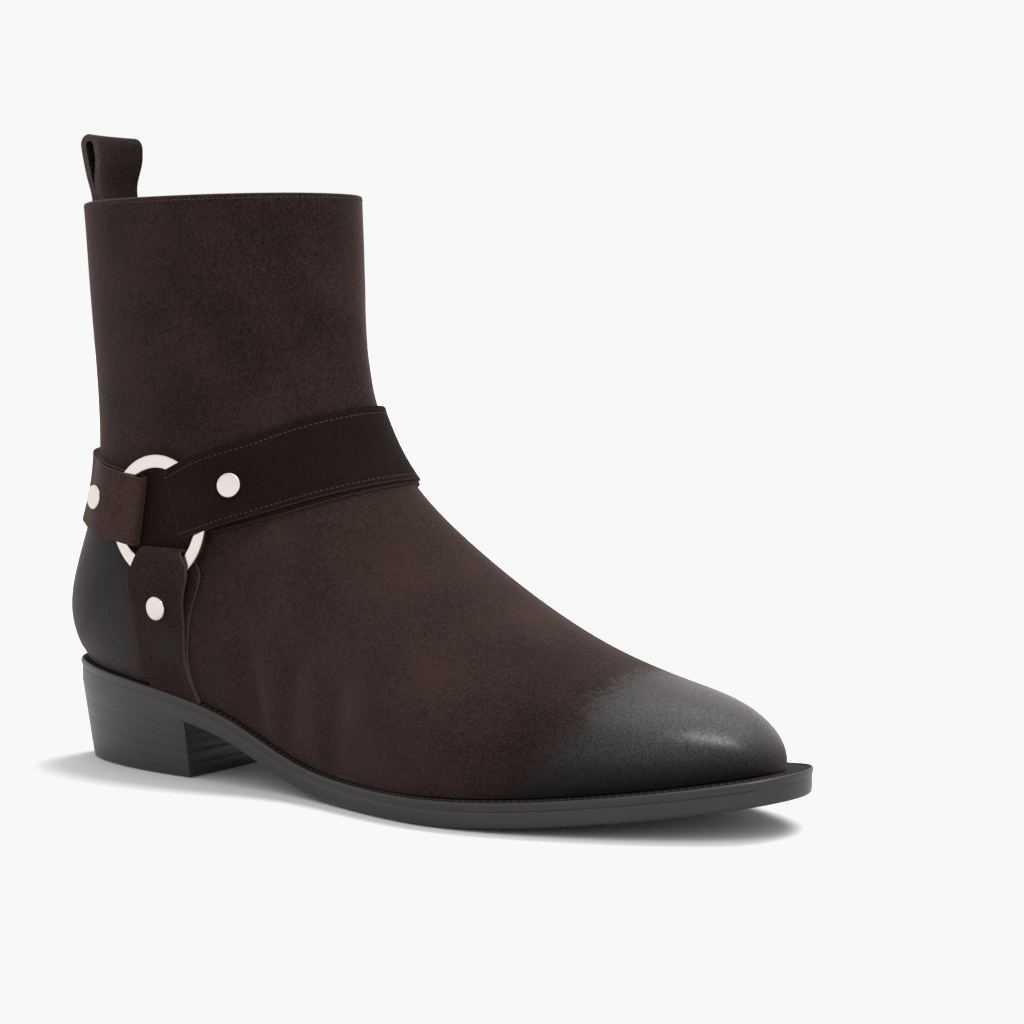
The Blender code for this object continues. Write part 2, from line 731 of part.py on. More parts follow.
def make_pull_loop(finish):
    """Tab of folded strap sewn inside the back of the collar."""
    eye = LOOP_DEPTH - 2 * LOOP_PLY
    join = LOOP_TOP - LOOP_JOIN
    profile = strap_profile(LOOP_PLY, eye, LOOP_DEPTH / 2 + 3, join, 0.0, LOOP_TOP - LOOP_BOTTOM, False)
    collar = float(last_curve(len(LAST) - 1)[1])
    middle = (last_curve(len(LAST) - 1)[0] + last_curve(len(LAST) - 1)[2]) / 2

    def put(distance, across, height):
        z = LOOP_TOP - distance
        y = LOOP_SHIFT + across * LOOP_HALF_WIDTH
        level = min(z, collar - 4)
        back = strike((middle, 0.0, level), (-1.0, 0.0, 0.0))[0]
        here = strike((middle, y, level), (-1.0, 0.0, 0.0))[0]
        flatten = 1 - 0.6 * smooth((z - collar) / (LOOP_TOP - collar))
        x = back + (here - back) * 1.12 * flatten + WALL + 2 * GAP
        x -= LOOP_LEAN * smooth((z - collar) / LOOP_LEAN_RISE)
        return np.array((x + height, y, z))

    return sweep_strap("pull_loop", profile, put, finish)


# Assembly

def clear_scene():
    for piece in list(bpy.data.objects):
        bpy.data.objects.remove(piece, do_unlink=True)


def centre_over_origin():
    """Moves the carrying empty so that the boot stands over the origin."""
    corners = [vertex.co for piece in boot.children for vertex in piece.data.vertices]
    for axis in (0, 1):
        values = [corner[axis] for corner in corners]
        boot.location[axis] = -(min(values) + max(values)) / 2


def main():
    global boot, last_tree
    clear_scene()
    boot = bpy.data.objects.new("boot", None)
    bpy.context.collection.objects.link(boot)

    _, last_tree = make_upper(material("suede", (0.034, 0.022, 0.019), 0.9))
    make_insole(material("insole_leather", (0.05, 0.04, 0.034), 0.7))
    make_welt(material("welt_leather", (0.022, 0.018, 0.016), 0.5))
    make_outsole(material("sole_leather", (0.018, 0.015, 0.014), 0.5))
    make_heel_block(material("heel_leather", (0.018, 0.015, 0.014), 0.5))
    make_heel_top_piece(material("heel_rubber", (0.012, 0.011, 0.011), 0.7))
    make_pull_loop(material("loop_suede", (0.034, 0.022, 0.019), 0.9))

    strap_colour = (0.032, 0.021, 0.018)
    ahead = (math.cos(INSTEP_RISE), math.sin(INSTEP_RISE))
    behind = (-math.cos(HEEL_STRAP_RISE), math.sin(HEEL_STRAP_RISE))
    suede = material("instep_suede", strap_colour, 0.9)
    instep, instep_length = band_strap(
        "instep_strap", ahead, INSTEP_PIVOT, INSTEP_LIFT, INSTEP_TIP, INSTEP_RIVET, instep_width, suede)
    suede = material("heel_strap_suede", strap_colour, 0.9)
    heel, heel_length = band_strap(
        "heel_strap", behind, HEEL_STRAP_PIVOT, 0.0, HEEL_STRAP_TIP, HEEL_STRAP_RIVET, heel_strap_width, suede)

    for side, word in ((OUTER, "outer"), (INNER, "inner")):
        frame = ring_frame(side)
        make_ring("ring_" + word, frame, material("ring_nickel_" + word, (0.62, 0.60, 0.57), 0.25, 1.0))
        suede = material("anchor_suede_" + word, strap_colour, 0.9)
        anchor = anchor_strap("anchor_strap_" + word, side, frame, suede)
        places = (
            ("instep", instep, INSTEP_RIVET if side == OUTER else instep_length - INSTEP_RIVET),
            ("heel", heel, HEEL_STRAP_RIVET if side == OUTER else heel_length - HEEL_STRAP_RIVET),
            ("anchor", anchor, ANCHOR_RIVET),
        )
        for strap, place, distance in places:
            name = "_".join(("rivet", strap, word))
            make_rivet(name, place, distance, material(name + "_nickel", (0.62, 0.60, 0.57), 0.3, 1.0))

    centre_over_origin()


main()
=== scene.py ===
"""Looks of a right ankle boot with a harness, built round the boot's solids.

The toe points along +X, the outer side faces -Y and the inner side faces +Y. Sizes in the tables are in
millimetres from a datum under the ball of the foot, and SHIFT carries them into the frame.
"""

import json
import math

import bmesh
import bpy
import numpy as np
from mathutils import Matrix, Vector
from mathutils.bvhtree import BVHTree

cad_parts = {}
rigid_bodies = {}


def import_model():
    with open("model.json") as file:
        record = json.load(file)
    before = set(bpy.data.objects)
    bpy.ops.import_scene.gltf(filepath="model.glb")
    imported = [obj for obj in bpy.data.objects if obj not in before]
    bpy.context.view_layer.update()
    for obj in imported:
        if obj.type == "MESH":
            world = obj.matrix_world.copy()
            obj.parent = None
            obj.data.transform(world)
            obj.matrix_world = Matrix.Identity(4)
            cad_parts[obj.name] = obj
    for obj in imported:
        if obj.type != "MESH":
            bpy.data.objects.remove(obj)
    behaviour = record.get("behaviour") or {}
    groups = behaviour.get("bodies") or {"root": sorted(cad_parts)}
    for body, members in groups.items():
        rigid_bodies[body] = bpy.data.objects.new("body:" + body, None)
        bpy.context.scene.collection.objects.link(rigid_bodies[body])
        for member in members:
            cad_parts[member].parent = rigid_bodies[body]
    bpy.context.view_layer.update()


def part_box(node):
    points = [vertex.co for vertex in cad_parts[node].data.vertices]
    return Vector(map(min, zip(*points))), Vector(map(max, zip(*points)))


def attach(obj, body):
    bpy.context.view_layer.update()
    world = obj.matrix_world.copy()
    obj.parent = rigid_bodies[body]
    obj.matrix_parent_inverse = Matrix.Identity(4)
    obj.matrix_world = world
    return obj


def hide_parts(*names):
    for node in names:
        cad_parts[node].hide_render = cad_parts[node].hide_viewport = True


bl_info = {
    "name": "Harness boot",
    "version": (1, 0, 0),
    "blender": (4, 5, 0),
    "location": "3D View > Sidebar > Boot",
    "description": "Makes the upper, harness, sole and studio of a right ankle boot",
    "category": "Object",
}

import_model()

# Last and sole, in millimetres
HEEL_X = -158.0
TOE_X = 137.0
WALL = 2.2
GAP = 0.4
SOLE_THICK = 8.9
SOLE_INSET = 0.4         # the outsole's edge stands back from the welt's
WELT_THICK = 3.2
INSOLE_RISE = 1.2
RIM_RISE = 0.9           # rounding of the collar's edge
RIM_REACH = 8.0          # height over which the wall gives way to it
RIM_TURNS = (40, 90, 140)  # places round that edge, in degrees from outside to inside
BREAST_X = -86.0
BREAST_BLEND = (BREAST_X - 2, 6)  # where the tread's edge starts to be rounded, and over what length
HEEL_SEAT_ROUND = 0.1    # share of that rounding where the heel joins on
HEEL_BACK_TAPER = 4.6
HEEL_SIDE_TAPER = 0.10
HEEL_INSET = 0.5         # the heel's edge stands back from the welt's
TOP_PIECE = 4.6
LIFTS = (0.27, 0.52, 0.76)  # joints of the heel's lifts, shares of its height
SEAM = 0.02              # hairline between layers of the sole
SEAM_ROUND = 0.08        # rounding of the sole's edges at it
WELT_REACH = 2.6         # the welt runs this far in under the upper
INSOLE_INSET = 1.2       # the insole's edge inside the wall of the upper
END_CLOSE = 3            # how steeply the sole's margin closes at heel and toe

# Rings and rivets, in millimetres
RING_X = -91.0
RING_Z = 95.3
RING_OUTER = 23.0
RING_INNER = 18.0
RING_THICK = 2.6
RING_TURN = math.radians(2.5)
RING_PLAY = 0.15
RING_SOFT = 0.75         # rounding of the ring's edges
RING_CLEAR = 2.0         # the upper is felt this far outside the ring
RING_FACETS = 120
RING_FEELERS = 24        # directions in which the upper is felt
RIVET_RADIUS = 4.5
RIVET_HEIGHT = 1.3
RIVET_LIFT = 0.15        # cap over its strap
RIVET_FACETS = 40
RIVET_PROBE = 0.3        # a rivet feels its strap's slope over this share of the half width

# Straps, in millimetres; tips and rivets are measured from the ring's centre
INSTEP_RISE = math.radians(18.5)
INSTEP_PIVOT = 21.0
INSTEP_LIFT = 2.0
INSTEP_TIP = 8.4
INSTEP_RIVET = 33.8
INSTEP_TRIM = 0.6        # the stitched layer stands back from the strap's lower edge
LOWER_INSET = 1.7        # stitches from that edge
HEEL_STRAP_RISE = math.radians(10.5)
HEEL_STRAP_PIVOT = 29.0
HEEL_STRAP_TIP = 9.0
HEEL_STRAP_RIVET = 33.2
ANCHOR_TIP = 10.6
ANCHOR_RIVET = 32.4
ANCHOR_FOOT = 63.0
ANCHOR_END = 1.7         # thickness at the foot
ANCHOR_CLEAR = 0.15      # foot over the welt
ANCHOR_FEEL = 0.4        # the upper is felt at least this far over the foot
ANCHOR_THIN = (0.4, 0.6)  # share of the length where it gets thinner, and over what share
ANCHOR_BURNISH = (-94.0, 49.0, 7.0, 9.0, 0.8)  # patch: x, height, its reach in each, strength
FOLD_REACH = 7.0         # a fold closes this far past its rivet
FOLD_FACETS = 14
LEDGE = 0.02             # step between the layers of a strap
BAND_RELEASE = 22.0      # length past the ring over which a band comes to lie on the upper
ANCHOR_RELEASE = 18.0    # the same for an anchor strap
SEAM_DIP = 0.16          # depth of the groove that stitches pull into the leather
SEAM_DIP_WIDTH = 0.7
SEAM_DIP_FROM = 0.3      # points this far over the lower layer are pulled in
UNDER_TURN = 6           # how suddenly an under layer comes out at a strap's edge
STRAP_FACET = 1.8        # longest facet along a strap
PROBE = 3.0              # distance over which a strap feels the slope of the upper
BAND_HALF = 35.0         # half width of the foot where the bands start
BAND_RAYS = 361

# Pull loop, in millimetres
LOOP_TOP = 235.8
LOOP_BOTTOM = 194.0
LOOP_JOIN = 214.0
LOOP_HALF_WIDTH = 13.2
LOOP_PLY = 2.4
LOOP_SHIFT = -5.5
LOOP_DEPTH = 8.6
LOOP_STRAIGHT = LOOP_DEPTH / 2 + 3  # below its top, where its two layers start to close
LOOP_LEAN = 1.4
LOOP_LEAN_RISE = 12.0
LOOP_ROUND = 0.5
LOOP_FLARE = 0.05        # the loop widens by this share towards its top
LOOP_CURVE = 1.12        # its curve across, share of the collar's
LOOP_FLATTEN = 0.6       # and how much of that is gone at its top
LOOP_HOLD = 4.0          # below the collar's edge, where it takes the collar's curve

# Stitches, in millimetres
WELT_ROW = 2.0               # row of the welt from its edge
WELT_ROW_START = 0.30        # share of the foot's length where it starts
WELT_PITCH = 2.6
WELT_STITCH = (2.1, 0.8, 0.7)  # length, width and height
THREAD_FLATNESS = 0.8        # height of the other stitches, share of their width
STRAP_ROW_MARGIN = 1.2       # row of a strap from its tips
STRAP_ROW_POINTS = 240
ROW_PROBE = 0.4              # a row's direction is taken over this distance each way
COLLAR_ROWS = 40             # rows of the skin over which the collar's stitches are measured
SET_OUT_SHARP = math.radians(55.0)  # sharpest edge of a stitch or rivet that looks round

# Marks on the upper, in millimetres. A pair is where a mark starts and the length over which it grows.
LOW_SIDES = (2.0, 24.0)      # height above the welt
TOE_EDGE = (85.0, -19.0)     # edge of the burnished toe on the ridge, and its change low on the sides
TOE_SOFT = (8.0, 15.0)       # half width of that edge on the ridge, and its change low on the sides
TOE_RUB = (92.0, 10.0)       # rubbed strip at the toe: along x
TOE_RUB_HEIGHT = (0.5, 4.0)  # and above the welt
TOE_RUB_SHARE = 0.42
COUNTER_FRONT = (103.0, 17.0)   # burnished counter: along -x
COUNTER_TOP = (-100.0, 16.0)    # and downwards
COUNTER_FOOT = (0.0, 4.0)       # rubbed strip above the welt
COUNTER_FOOT_SHARE = 0.25
GLOSS_RANGE = (0.10, 0.86)   # least gloss, and its gain at the toe
GLOSS_TOE = (66.0, 54.0)
GLOSS_FOOT = (14.0, 10.0)    # gloss starts above this height
GLOSS_FOOT_SLOPE = 0.06      # which rises away from the ball of the foot
# Painted shade: the nap is painted darker inside the rings, deeper at their backs where the heel strap
# folds
RING_PAINTED_SHADE = (RING_INNER - 3.0, 6.0)
RING_PAINTED_SHADE_RANGE = (0.45, 0.35)  # painted shade inside the rings, and its gain at their backs
RING_PAINTED_SHADE_BACK = (2.0 - RING_X, 8.0)
# Nap darker towards the toe
FORE_DARKENING = (40.0, 34.0)
FORE_DARKENING_SHARE = 0.38
# Painted shade up the shaft, and painted light low on the upper where the range is below zero
SHAFT_PAINTED_SHADE = (95.0, 45.0)
SHAFT_PAINTED_SHADE_RANGE = (-0.12, 0.24)
FOLD_SIDE = (0.0, 14.0)      # folds start away from the ridge
FOLD_FOOT = (0.6, 6.0)       # above the welt
FOLD_TOP = (-211.0, 12.0)    # and below the collar
THIN_TOE = 0.35              # thickness of the wall at the very toe
THIN_TOE_ROWS = 2.2

# Half widths of the feather line: share of the foot length, outer side, inner side
FEATHER = (
    (0.00, 0.0, 0.0),
    (0.06, 20.5, 20.5),
    (0.15, 29.0, 28.5),
    (0.27, 32.0, 30.5),
    (0.40, 34.8, 29.0),
    (0.52, 44.6, 33.0),
    (0.63, 52.2, 41.5),
    (0.71, 50.6, 45.0),
    (0.80, 42.0, 43.0),
    (0.90, 27.0, 32.0),
    (0.96, 13.5, 20.5),
    (1.00, -4.5, 4.5),
)

# Sole edge beyond the feather line: share of the foot length, margin
SOLE_MARGIN = ((0.0, 2.6), (0.2, 2.7), (0.45, 3.6), (0.7, 4.2), (0.88, 5.4), (1.0, 8.8))

# Top of the welt along the boot: x, height
SEAT_LINE = (
    (-158, 38.0), (-130, 35.4), (-108, 33.0), (-85, 29.4), (-64, 23.8), (-48, 17.6), (-34, 12.9),
    (-18, 10.0), (2, 8.9), (34, 8.9), (62, 10.1), (88, 12.4), (110, 15.0), (125, 17.1), (137, 19.0),
)

# Sections of the last from the toe to the collar: foot x, foot height (None is on the welt), top x, top
# height, half widths outer and inner, share of the rise where widest, fullness, ridge to the inner side
LAST = (
    (137.0, None, 137.0, 19.0, -4.5, 4.5, 0.30, 2.20, 4.5),
    (135.8, None, 135.8, 24.4, 2.0, 10.8, 0.30, 2.20, 4.5),
    (132.2, None, 132.2, 30.2, 8.5, 17.0, 0.30, 2.20, 4.5),
    (126.0, None, 126.0, 35.4, 15.2, 23.2, 0.30, 2.20, 4.5),
    (116.5, None, 116.5, 40.0, 23.3, 30.2, 0.30, 2.20, 4.5),
    (104.0, None, 104.0, 43.8, 32.0, 37.2, 0.30, 2.10, 4.5),
    (86.0, None, 86.0, 48.2, 41.6, 43.6, 0.30, 2.00, 4.5),
    (62.0, None, 62.0, 56.6, 49.8, 46.6, 0.30, 1.90, 4.5),
    (36.0, None, 37.0, 70.4, 53.4, 43.5, 0.30, 1.85, 4.0),
    (8.0, None, 14.0, 86.6, 49.4, 37.5, 0.32, 1.85, 3.0),
    (-23.0, None, -5.6, 102.6, 41.5, 34.0, 0.34, 1.90, 2.0),
    (-58.0, None, -19.4, 118.0, 37.0, 33.5, 0.36, 2.00, 1.0),
    (-95.0, None, -26.8, 132.0, 36.0, 34.0, 0.38, 2.05, 0.5),
    (-130.0, None, -30.0, 143.0, 35.5, 34.0, 0.40, 2.10, 0.0),
    (-150.5, None, -31.2, 151.0, 35.2, 34.0, 0.42, 2.10, 0.0),
    (-158.0, None, -32.0, 156.5, 35.2, 34.0, 0.43, 2.10, 0.0),
    (-160.8, 43.5, -32.5, 161.0, 35.2, 34.0, 0.43, 2.10, 0.0),
    (-162.4, 56.5, -33.0, 166.0, 35.0, 34.0, 0.45, 2.10, 0.0),
    (-155.0, 78.0, -33.6, 173.0, 35.0, 34.0, 0.45, 2.10, 0.0),
    (-147.6, 101.0, -34.2, 181.0, 35.2, 34.5, 0.45, 2.10, 0.0),
    (-145.9, 123.0, -34.8, 188.0, 35.8, 35.3, 0.45, 2.10, 0.0),
    (-147.0, 147.0, -35.3, 195.0, 36.6, 36.3, 0.45, 2.10, 0.0),
    (-149.4, 177.0, -35.9, 203.0, 37.4, 37.2, 0.45, 2.10, 0.0),
    (-151.5, 209.8, -36.5, 211.6, 38.2, 38.0, 0.45, 2.10, 0.0),
)
HEEL_ROW = 15

# Anchor strap: distance below the ring centre, shift to the front, half width, turned-under layer
ANCHOR = (
    (9.0, 1.6, 8.8, 0.0),
    (12.0, 1.6, 10.1, 0.6),
    (16.0, 1.5, 12.6, 2.0),
    (30.0, -1.4, 12.4, 2.2),
    (45.0, -3.9, 11.5, 0.5),
    (57.0, -2.2, 11.4, 0.0),
    (66.0, 1.0, 12.6, 0.0),
)

# Half widths of the bands: share of the length from ring to ring, half width
INSTEP_WIDTH = (
    (0.0, 11.9), (0.1, 13.7), (0.25, 15.3), (0.5, 15.8), (0.75, 15.3), (0.9, 13.7), (1.0, 11.9),
)
HEEL_STRAP_WIDTH = ((0.0, 12.5), (0.5, 12.9), (1.0, 12.5))

# Under layer of the instep strap below the stitched one: share of the length, how far it shows
INSTEP_UNDER = (
    (0.0, 0.0), (0.1, 0.5), (0.2, 1.7), (0.34, 1.9), (0.5, 1.0), (0.66, 1.9), (0.8, 1.7), (0.9, 0.5),
    (1.0, 0.0),
)

# Soft folds of the upper: side, first end x and height, second end x and height, half width, rise
FOLDS = (
    (-1, -56.0, 58.0, -50.0, 28.0, 5.0, -0.95),
    (-1, -44.0, 44.0, -42.0, 20.0, 5.5, 0.90),
    (-1, -32.0, 44.0, -36.0, 16.0, 5.0, -0.95),
    (-1, -20.0, 44.0, -19.0, 14.0, 6.0, 0.80),
    (-1, -7.0, 36.0, -11.0, 13.0, 6.0, -0.75),
    (-1, 8.0, 34.0, 6.0, 12.0, 7.0, 0.30),
    (-1, -70.0, 66.0, -64.0, 34.0, 7.0, 0.60),
    (1, -60.0, 56.0, -53.0, 26.0, 5.5, -0.50),
    (1, -46.0, 46.0, -42.0, 20.0, 5.5, 0.45),
    (1, -30.0, 42.0, -34.0, 16.0, 5.0, -0.50),
    (1, -14.0, 40.0, -16.0, 14.0, 7.0, 0.40),
    (-1, -62.0, 200.0, -58.0, 142.0, 16.0, -0.55),
    (-1, -118.0, 190.0, -112.0, 140.0, 18.0, -0.60),
    (1, -70.0, 196.0, -66.0, 146.0, 17.0, -0.55),
    (1, -122.0, 186.0, -116.0, 138.0, 17.0, -0.50),
    (-1, -20.0, 84.0, 8.0, 62.0, 12.0, -0.40),
    (-1, -52.0, 88.0, -22.0, 74.0, 14.0, -0.45),
    (1, -18.0, 84.0, 10.0, 60.0, 12.0, -0.40),
)

# Studio: glow of its walls and its ceiling, and the light above which all is one white
WALL_GLOW = 0.95
CEILING_GLOW = 0.80
CEILING_FROM = (0.2, 0.55)
WHITE = 0.938
FLOOR_HALF = 12.0
FLOOR_DROP = 0.0002

# Lamps: name, direction, spread in degrees, power, what each lights
LAMPS = (
    ("overhead", (0.10, 0.28, 1.0), 60.0, 1.00, "both"),
    ("toe glint", (0.59, -0.13, 0.80), 20.0, 1.22, "boot"),
    ("floor wash", (0.0, 0.80, 1.0), 30.0, 2.60, "floor"),
)
# Pieces that shade the floor wash
LOW_PIECES = ("boot_outsole", "boot_welt", "boot_heel_block", "boot_heel_top_piece")

# Camera: its place in millimetres, its turn, and the picture in pixels
CAMERA_PLACE = (515.7, -727.2, 166.5)
CAMERA_TURN = math.radians(33.5)
PICTURE = 1024
HORIZON = 320
FOCAL = 2530
FILM_WIDTH = 36.0

# Meshes: a millimetre and a sliver in metres, digits to which points coincide, columns of half the upper
# for show and for measuring, stations along the sole and the heel
MM = 0.001
SLIVER = 2e-6
WELD_DIGITS = 4
HALF_COLUMNS = 80
SPAN_COLUMNS = 12
SOLE_STATIONS = 150
HEEL_STATIONS = 44
TOE_TIP_FACING = (1.0, 0.0, 0.25)  # outward direction at the point of the toe
RAY_OFFSET = 0.02        # rays start this far beside the back seam
OUTER = -1
INNER = 1
SIDES = ((OUTER, "outer"), (INNER, "inner"))


# Curves

def natural_spline(knots, values):
    """Smooth curve through the values at the knots, with free ends."""
    knots = np.asarray(knots, float)
    values = np.asarray(values, float)
    steps = np.diff(knots)
    system = np.eye(len(knots))
    right = np.zeros_like(values)
    for i in range(1, len(knots) - 1):
        system[i, i - 1:i + 2] = steps[i - 1], 2 * (steps[i - 1] + steps[i]), steps[i]
        after = (values[i + 1] - values[i]) / steps[i]
        before = (values[i] - values[i - 1]) / steps[i - 1]
        right[i] = 6 * (after - before)
    bend = np.linalg.solve(system, right)

    def curve(at):
        i = int(np.clip(np.searchsorted(knots, at) - 1, 0, len(knots) - 2))
        run = at - knots[i]
        slope = (values[i + 1] - values[i]) / steps[i] - steps[i] * (2 * bend[i] + bend[i + 1]) / 6
        twist = (bend[i + 1] - bend[i]) / (6 * steps[i])
        return values[i] + run * (slope + run * (bend[i] / 2 + run * twist))

    return curve


def sweep_of(share):
    """Station of a share of the foot's length; stations crowd at the heel and the toe."""
    return math.acos(min(1.0, max(-1.0, 1 - 2 * share))) / math.pi


def share_of(sweep):
    """Share of the foot's length at a station."""
    return (1 - math.cos(math.pi * sweep)) / 2


def table_curve(table, knot=lambda value: value):
    """Smooth curves through a table, along its first column."""
    return natural_spline([knot(row[0]) for row in table], [row[1:] for row in table])


def smooth(value):
    """Soft rise from 0 to 1."""
    value = np.clip(value, 0.0, 1.0)
    return value * value * (3 - 2 * value)


def ramp(value, start, length):
    """Soft rise from 0 to 1 over a length from a start."""
    return smooth((value - start) / length)


def lengths(line):
    """Distance along a line of points, at each of them."""
    return np.concatenate([[0.0], np.cumsum(np.linalg.norm(np.diff(line, axis=0), axis=1))])


feather_curve = table_curve(FEATHER, sweep_of)
margin_curve = table_curve(SOLE_MARGIN, sweep_of)
seat_curve = table_curve(SEAT_LINE)
anchor_curve = table_curve(ANCHOR)
instep_width = table_curve(INSTEP_WIDTH)
instep_under = table_curve(INSTEP_UNDER)
heel_strap_width = table_curve(HEEL_STRAP_WIDTH)


def seat(x):
    """Height of the top of the welt."""
    return float(seat_curve(x)[0])


def seat_under(x):
    """Height of the welt at any x, also past its ends."""
    return seat(min(max(x, HEEL_X), TOE_X))


def tread(x):
    """Height of the underside of the sole."""
    return max(seat(x) - SOLE_THICK, 0.0)


def frame_shift():
    """Where the datum lies in the frame, from the front of the welt and the middle of the pull loop."""
    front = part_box("welt")[1].x * 1000 - TOE_X - SOLE_MARGIN[-1][1]
    low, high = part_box("pull_loop")
    return np.array((front, (low.y + high.y) * 500 - LOOP_SHIFT, 0.0))


SHIFT = frame_shift()


def last_columns():
    """Curves of the sections, and of their foot points on the welt and up the back seam."""
    rows = [[seat(row[0]) + GAP if value is None else value for value in row] for row in LAST]
    rows[0][3] = rows[0][1]
    feet = [row[:2] for row in rows]
    on_welt = feet[:HEEL_ROW + 1] + feet[HEEL_ROW - 1:HEEL_ROW - 4:-1]
    up_seam = feet[HEEL_ROW + 3:HEEL_ROW:-1] + feet[HEEL_ROW:]
    return (
        natural_spline(range(len(rows)), rows),
        natural_spline(range(len(on_welt)), on_welt),
        natural_spline(range(HEEL_ROW - 3, len(rows)), up_seam),
    )


last_curve, welt_feet, seam_feet = last_columns()


def half_section(side, width, foot, wide, power, ridge, count):
    """Rise share and y of one side of a section, from the feather line up to the ridge."""
    reach = width - side * ridge
    start = math.acos(min(0.995, max(0.0, (foot - side * ridge) / max(reach, 1e-6))) ** (power / 2))
    under = wide / math.sin(start) ** (2 / power) if start > 1e-4 else 0.0
    angle = np.linspace(-start, math.pi / 2, count + 1)
    rise = np.sign(np.sin(angle)) * np.abs(np.sin(angle)) ** (2 / power)
    share = wide + rise * np.where(angle < 0, under, 1 - wide)
    return share, ridge + side * reach * np.abs(np.cos(angle)) ** (2 / power)


def section(row, count):
    """Points of one section: outer feather line, over the ridge, to the inner feather line."""
    top_x, top_z, outer, inner, wide, power, ridge = last_curve(row)[2:]
    if row <= HEEL_ROW:
        foot_x = welt_feet(row)[0]
        foot_z = seat(foot_x) + GAP
        feet = feather_curve(sweep_of((foot_x - HEEL_X) / (TOE_X - HEEL_X)))
    else:
        foot_x, foot_z = seam_feet(row)
        feet = (0.0, 0.0)
        ridge = 0.0
    first = half_section(OUTER, outer, feet[0], wide, power, ridge, count)
    second = half_section(INNER, inner, feet[1], wide, power, ridge, count)
    share = np.concatenate([first[0], second[0][-2::-1]])
    y = np.concatenate([first[1], second[1][-2::-1]])
    return np.column_stack([foot_x + (top_x - foot_x) * share, y, foot_z + (top_z - foot_z) * share])


def skin_rows(step):
    """Places of the skin's rows, no further apart than a step, evened out at the heel row."""
    rows = [0.0]
    for k in range(len(LAST) - 1):
        span = np.linalg.norm(section(k + 1, SPAN_COLUMNS) - section(k, SPAN_COLUMNS), axis=1).max()
        part = np.linspace(0, 1, max(2, math.ceil(span / step)) + 1)[1:]
        if k == HEEL_ROW - 1:
            part = 1 - np.sqrt(1 - part)
        if k == HEEL_ROW:
            part = np.sqrt(part)
        rows.extend(k + part)
    return rows


def skin_normals(grid, closed_from):
    """Outward directions of a skin; its rows are closed loops from one row on."""
    across = np.gradient(grid, axis=1)
    seam = grid[closed_from:, 1] - grid[closed_from:, -2]
    across[closed_from:, 0] = seam / 2
    across[closed_from:, -1] = seam / 2
    normals = np.cross(across, np.gradient(grid, axis=0))
    normals[0] = TOE_TIP_FACING
    return normals / np.maximum(np.linalg.norm(normals, axis=2, keepdims=True), 1e-9)


def quads(rows, columns):
    """Faces of a grid of points, row after row."""
    low = (np.arange(rows - 1)[:, None] * columns + np.arange(columns - 1)).ravel()
    return np.column_stack([low, low + columns, low + columns + 1, low + 1]).tolist()


class Skin:
    """The upper's outer face: its plain form for measuring, and its folded form for show."""

    def __init__(self, step):
        self.rows = skin_rows(step)
        self.plain = np.array([section(row, HALF_COLUMNS) for row in self.rows])
        self.heel = self.rows.index(float(HEEL_ROW))
        self.normals = skin_normals(self.plain, self.heel)
        self.folded = self.plain + self.normals * self.rise()[..., None]
        count = self.plain.shape
        points = [Vector(point) for point in self.plain.reshape(-1, 3)]
        self.tree = BVHTree.FromPolygons(points, quads(count[0], count[1]))

    def rise(self):
        """Height of the soft folds over the plain form, fading out at the welt and the collar."""
        x, y, z = np.moveaxis(self.plain, 2, 0)
        total = np.zeros(x.shape)
        for side, x0, z0, x1, z1, width, height in FOLDS:
            run = np.array((x1 - x0, z1 - z0))
            share = np.clip(((x - x0) * run[0] + (z - z0) * run[1]) / run.dot(run), 0, 1)
            away = np.hypot(x - x0 - share * run[0], z - z0 - share * run[1])
            total += height * np.exp(-(away / width) ** 2) * ramp(y * side, *FOLD_SIDE)
        return total * ramp(z - np.vectorize(seat_under)(x), *FOLD_FOOT) * ramp(-z, *FOLD_TOP)

    def strike(self, origin, direction):
        """Point of the plain form that a straight line from the inside meets, clear of its seam."""
        start = Vector(origin) + Vector((0.0, RAY_OFFSET, 0.0))
        return np.array(self.tree.ray_cast(start, Vector(direction).normalized())[0])


# Meshes

def weld(points, faces):
    """Points that coincide become one, and faces that collapse or double up go."""
    keys = np.round(np.asarray(points, float), WELD_DIGITS)
    _, first, index = np.unique(keys, axis=0, return_index=True, return_inverse=True)
    order = np.argsort(first)
    place = np.empty(len(order), int)
    place[order] = np.arange(len(order))
    index = place[index.ravel()]
    kept = []
    seen = set()
    for number, face in enumerate(faces):
        ring = [int(index[i]) for i in face]
        ring = [v for k, v in enumerate(ring) if v != ring[k - 1]]
        if len(set(ring)) == len(ring) and len(ring) > 2 and frozenset(ring) not in seen:
            seen.add(frozenset(ring))
            kept.append((number, ring))
    return np.asarray(points, float)[first[order]], kept, first[order]


def piece(name, points, faces, finishes, slots=None, marks=None, sharp=40.0, turn=True):
    """Object in the frame from points in millimetres, with its finishes and named marks on its points."""
    places, kept, source = weld(points, faces)
    mesh = bpy.data.meshes.new(name)
    mesh.from_pydata(((places + SHIFT) * MM).tolist(), [], [face for _, face in kept])
    for used in finishes:
        mesh.materials.append(used)
    if slots is not None:
        mesh.polygons.foreach_set("material_index", [int(slots[number]) for number, _ in kept])
    for mark, values in (marks or {}).items():
        layer = mesh.attributes.new(mark, "FLOAT", "POINT")
        layer.data.foreach_set("value", np.asarray(values, float)[source].astype(np.float32))
    if turn:
        shape = bmesh.new()
        shape.from_mesh(mesh)
        bmesh.ops.recalc_face_normals(shape, faces=shape.faces)
        shape.to_mesh(mesh)
        shape.free()
    mesh.shade_smooth()
    mesh.set_sharp_from_angle(angle=math.radians(sharp))
    made = bpy.data.objects.new(name, mesh)
    bpy.context.scene.collection.objects.link(made)
    return made


def settle(made):
    """Turns a piece's modifiers into plain mesh."""
    bpy.context.view_layer.update()
    found = made.evaluated_get(bpy.context.evaluated_depsgraph_get())
    mesh = bpy.data.meshes.new_from_object(found)
    made.modifiers.clear()
    made.data = mesh
    return made


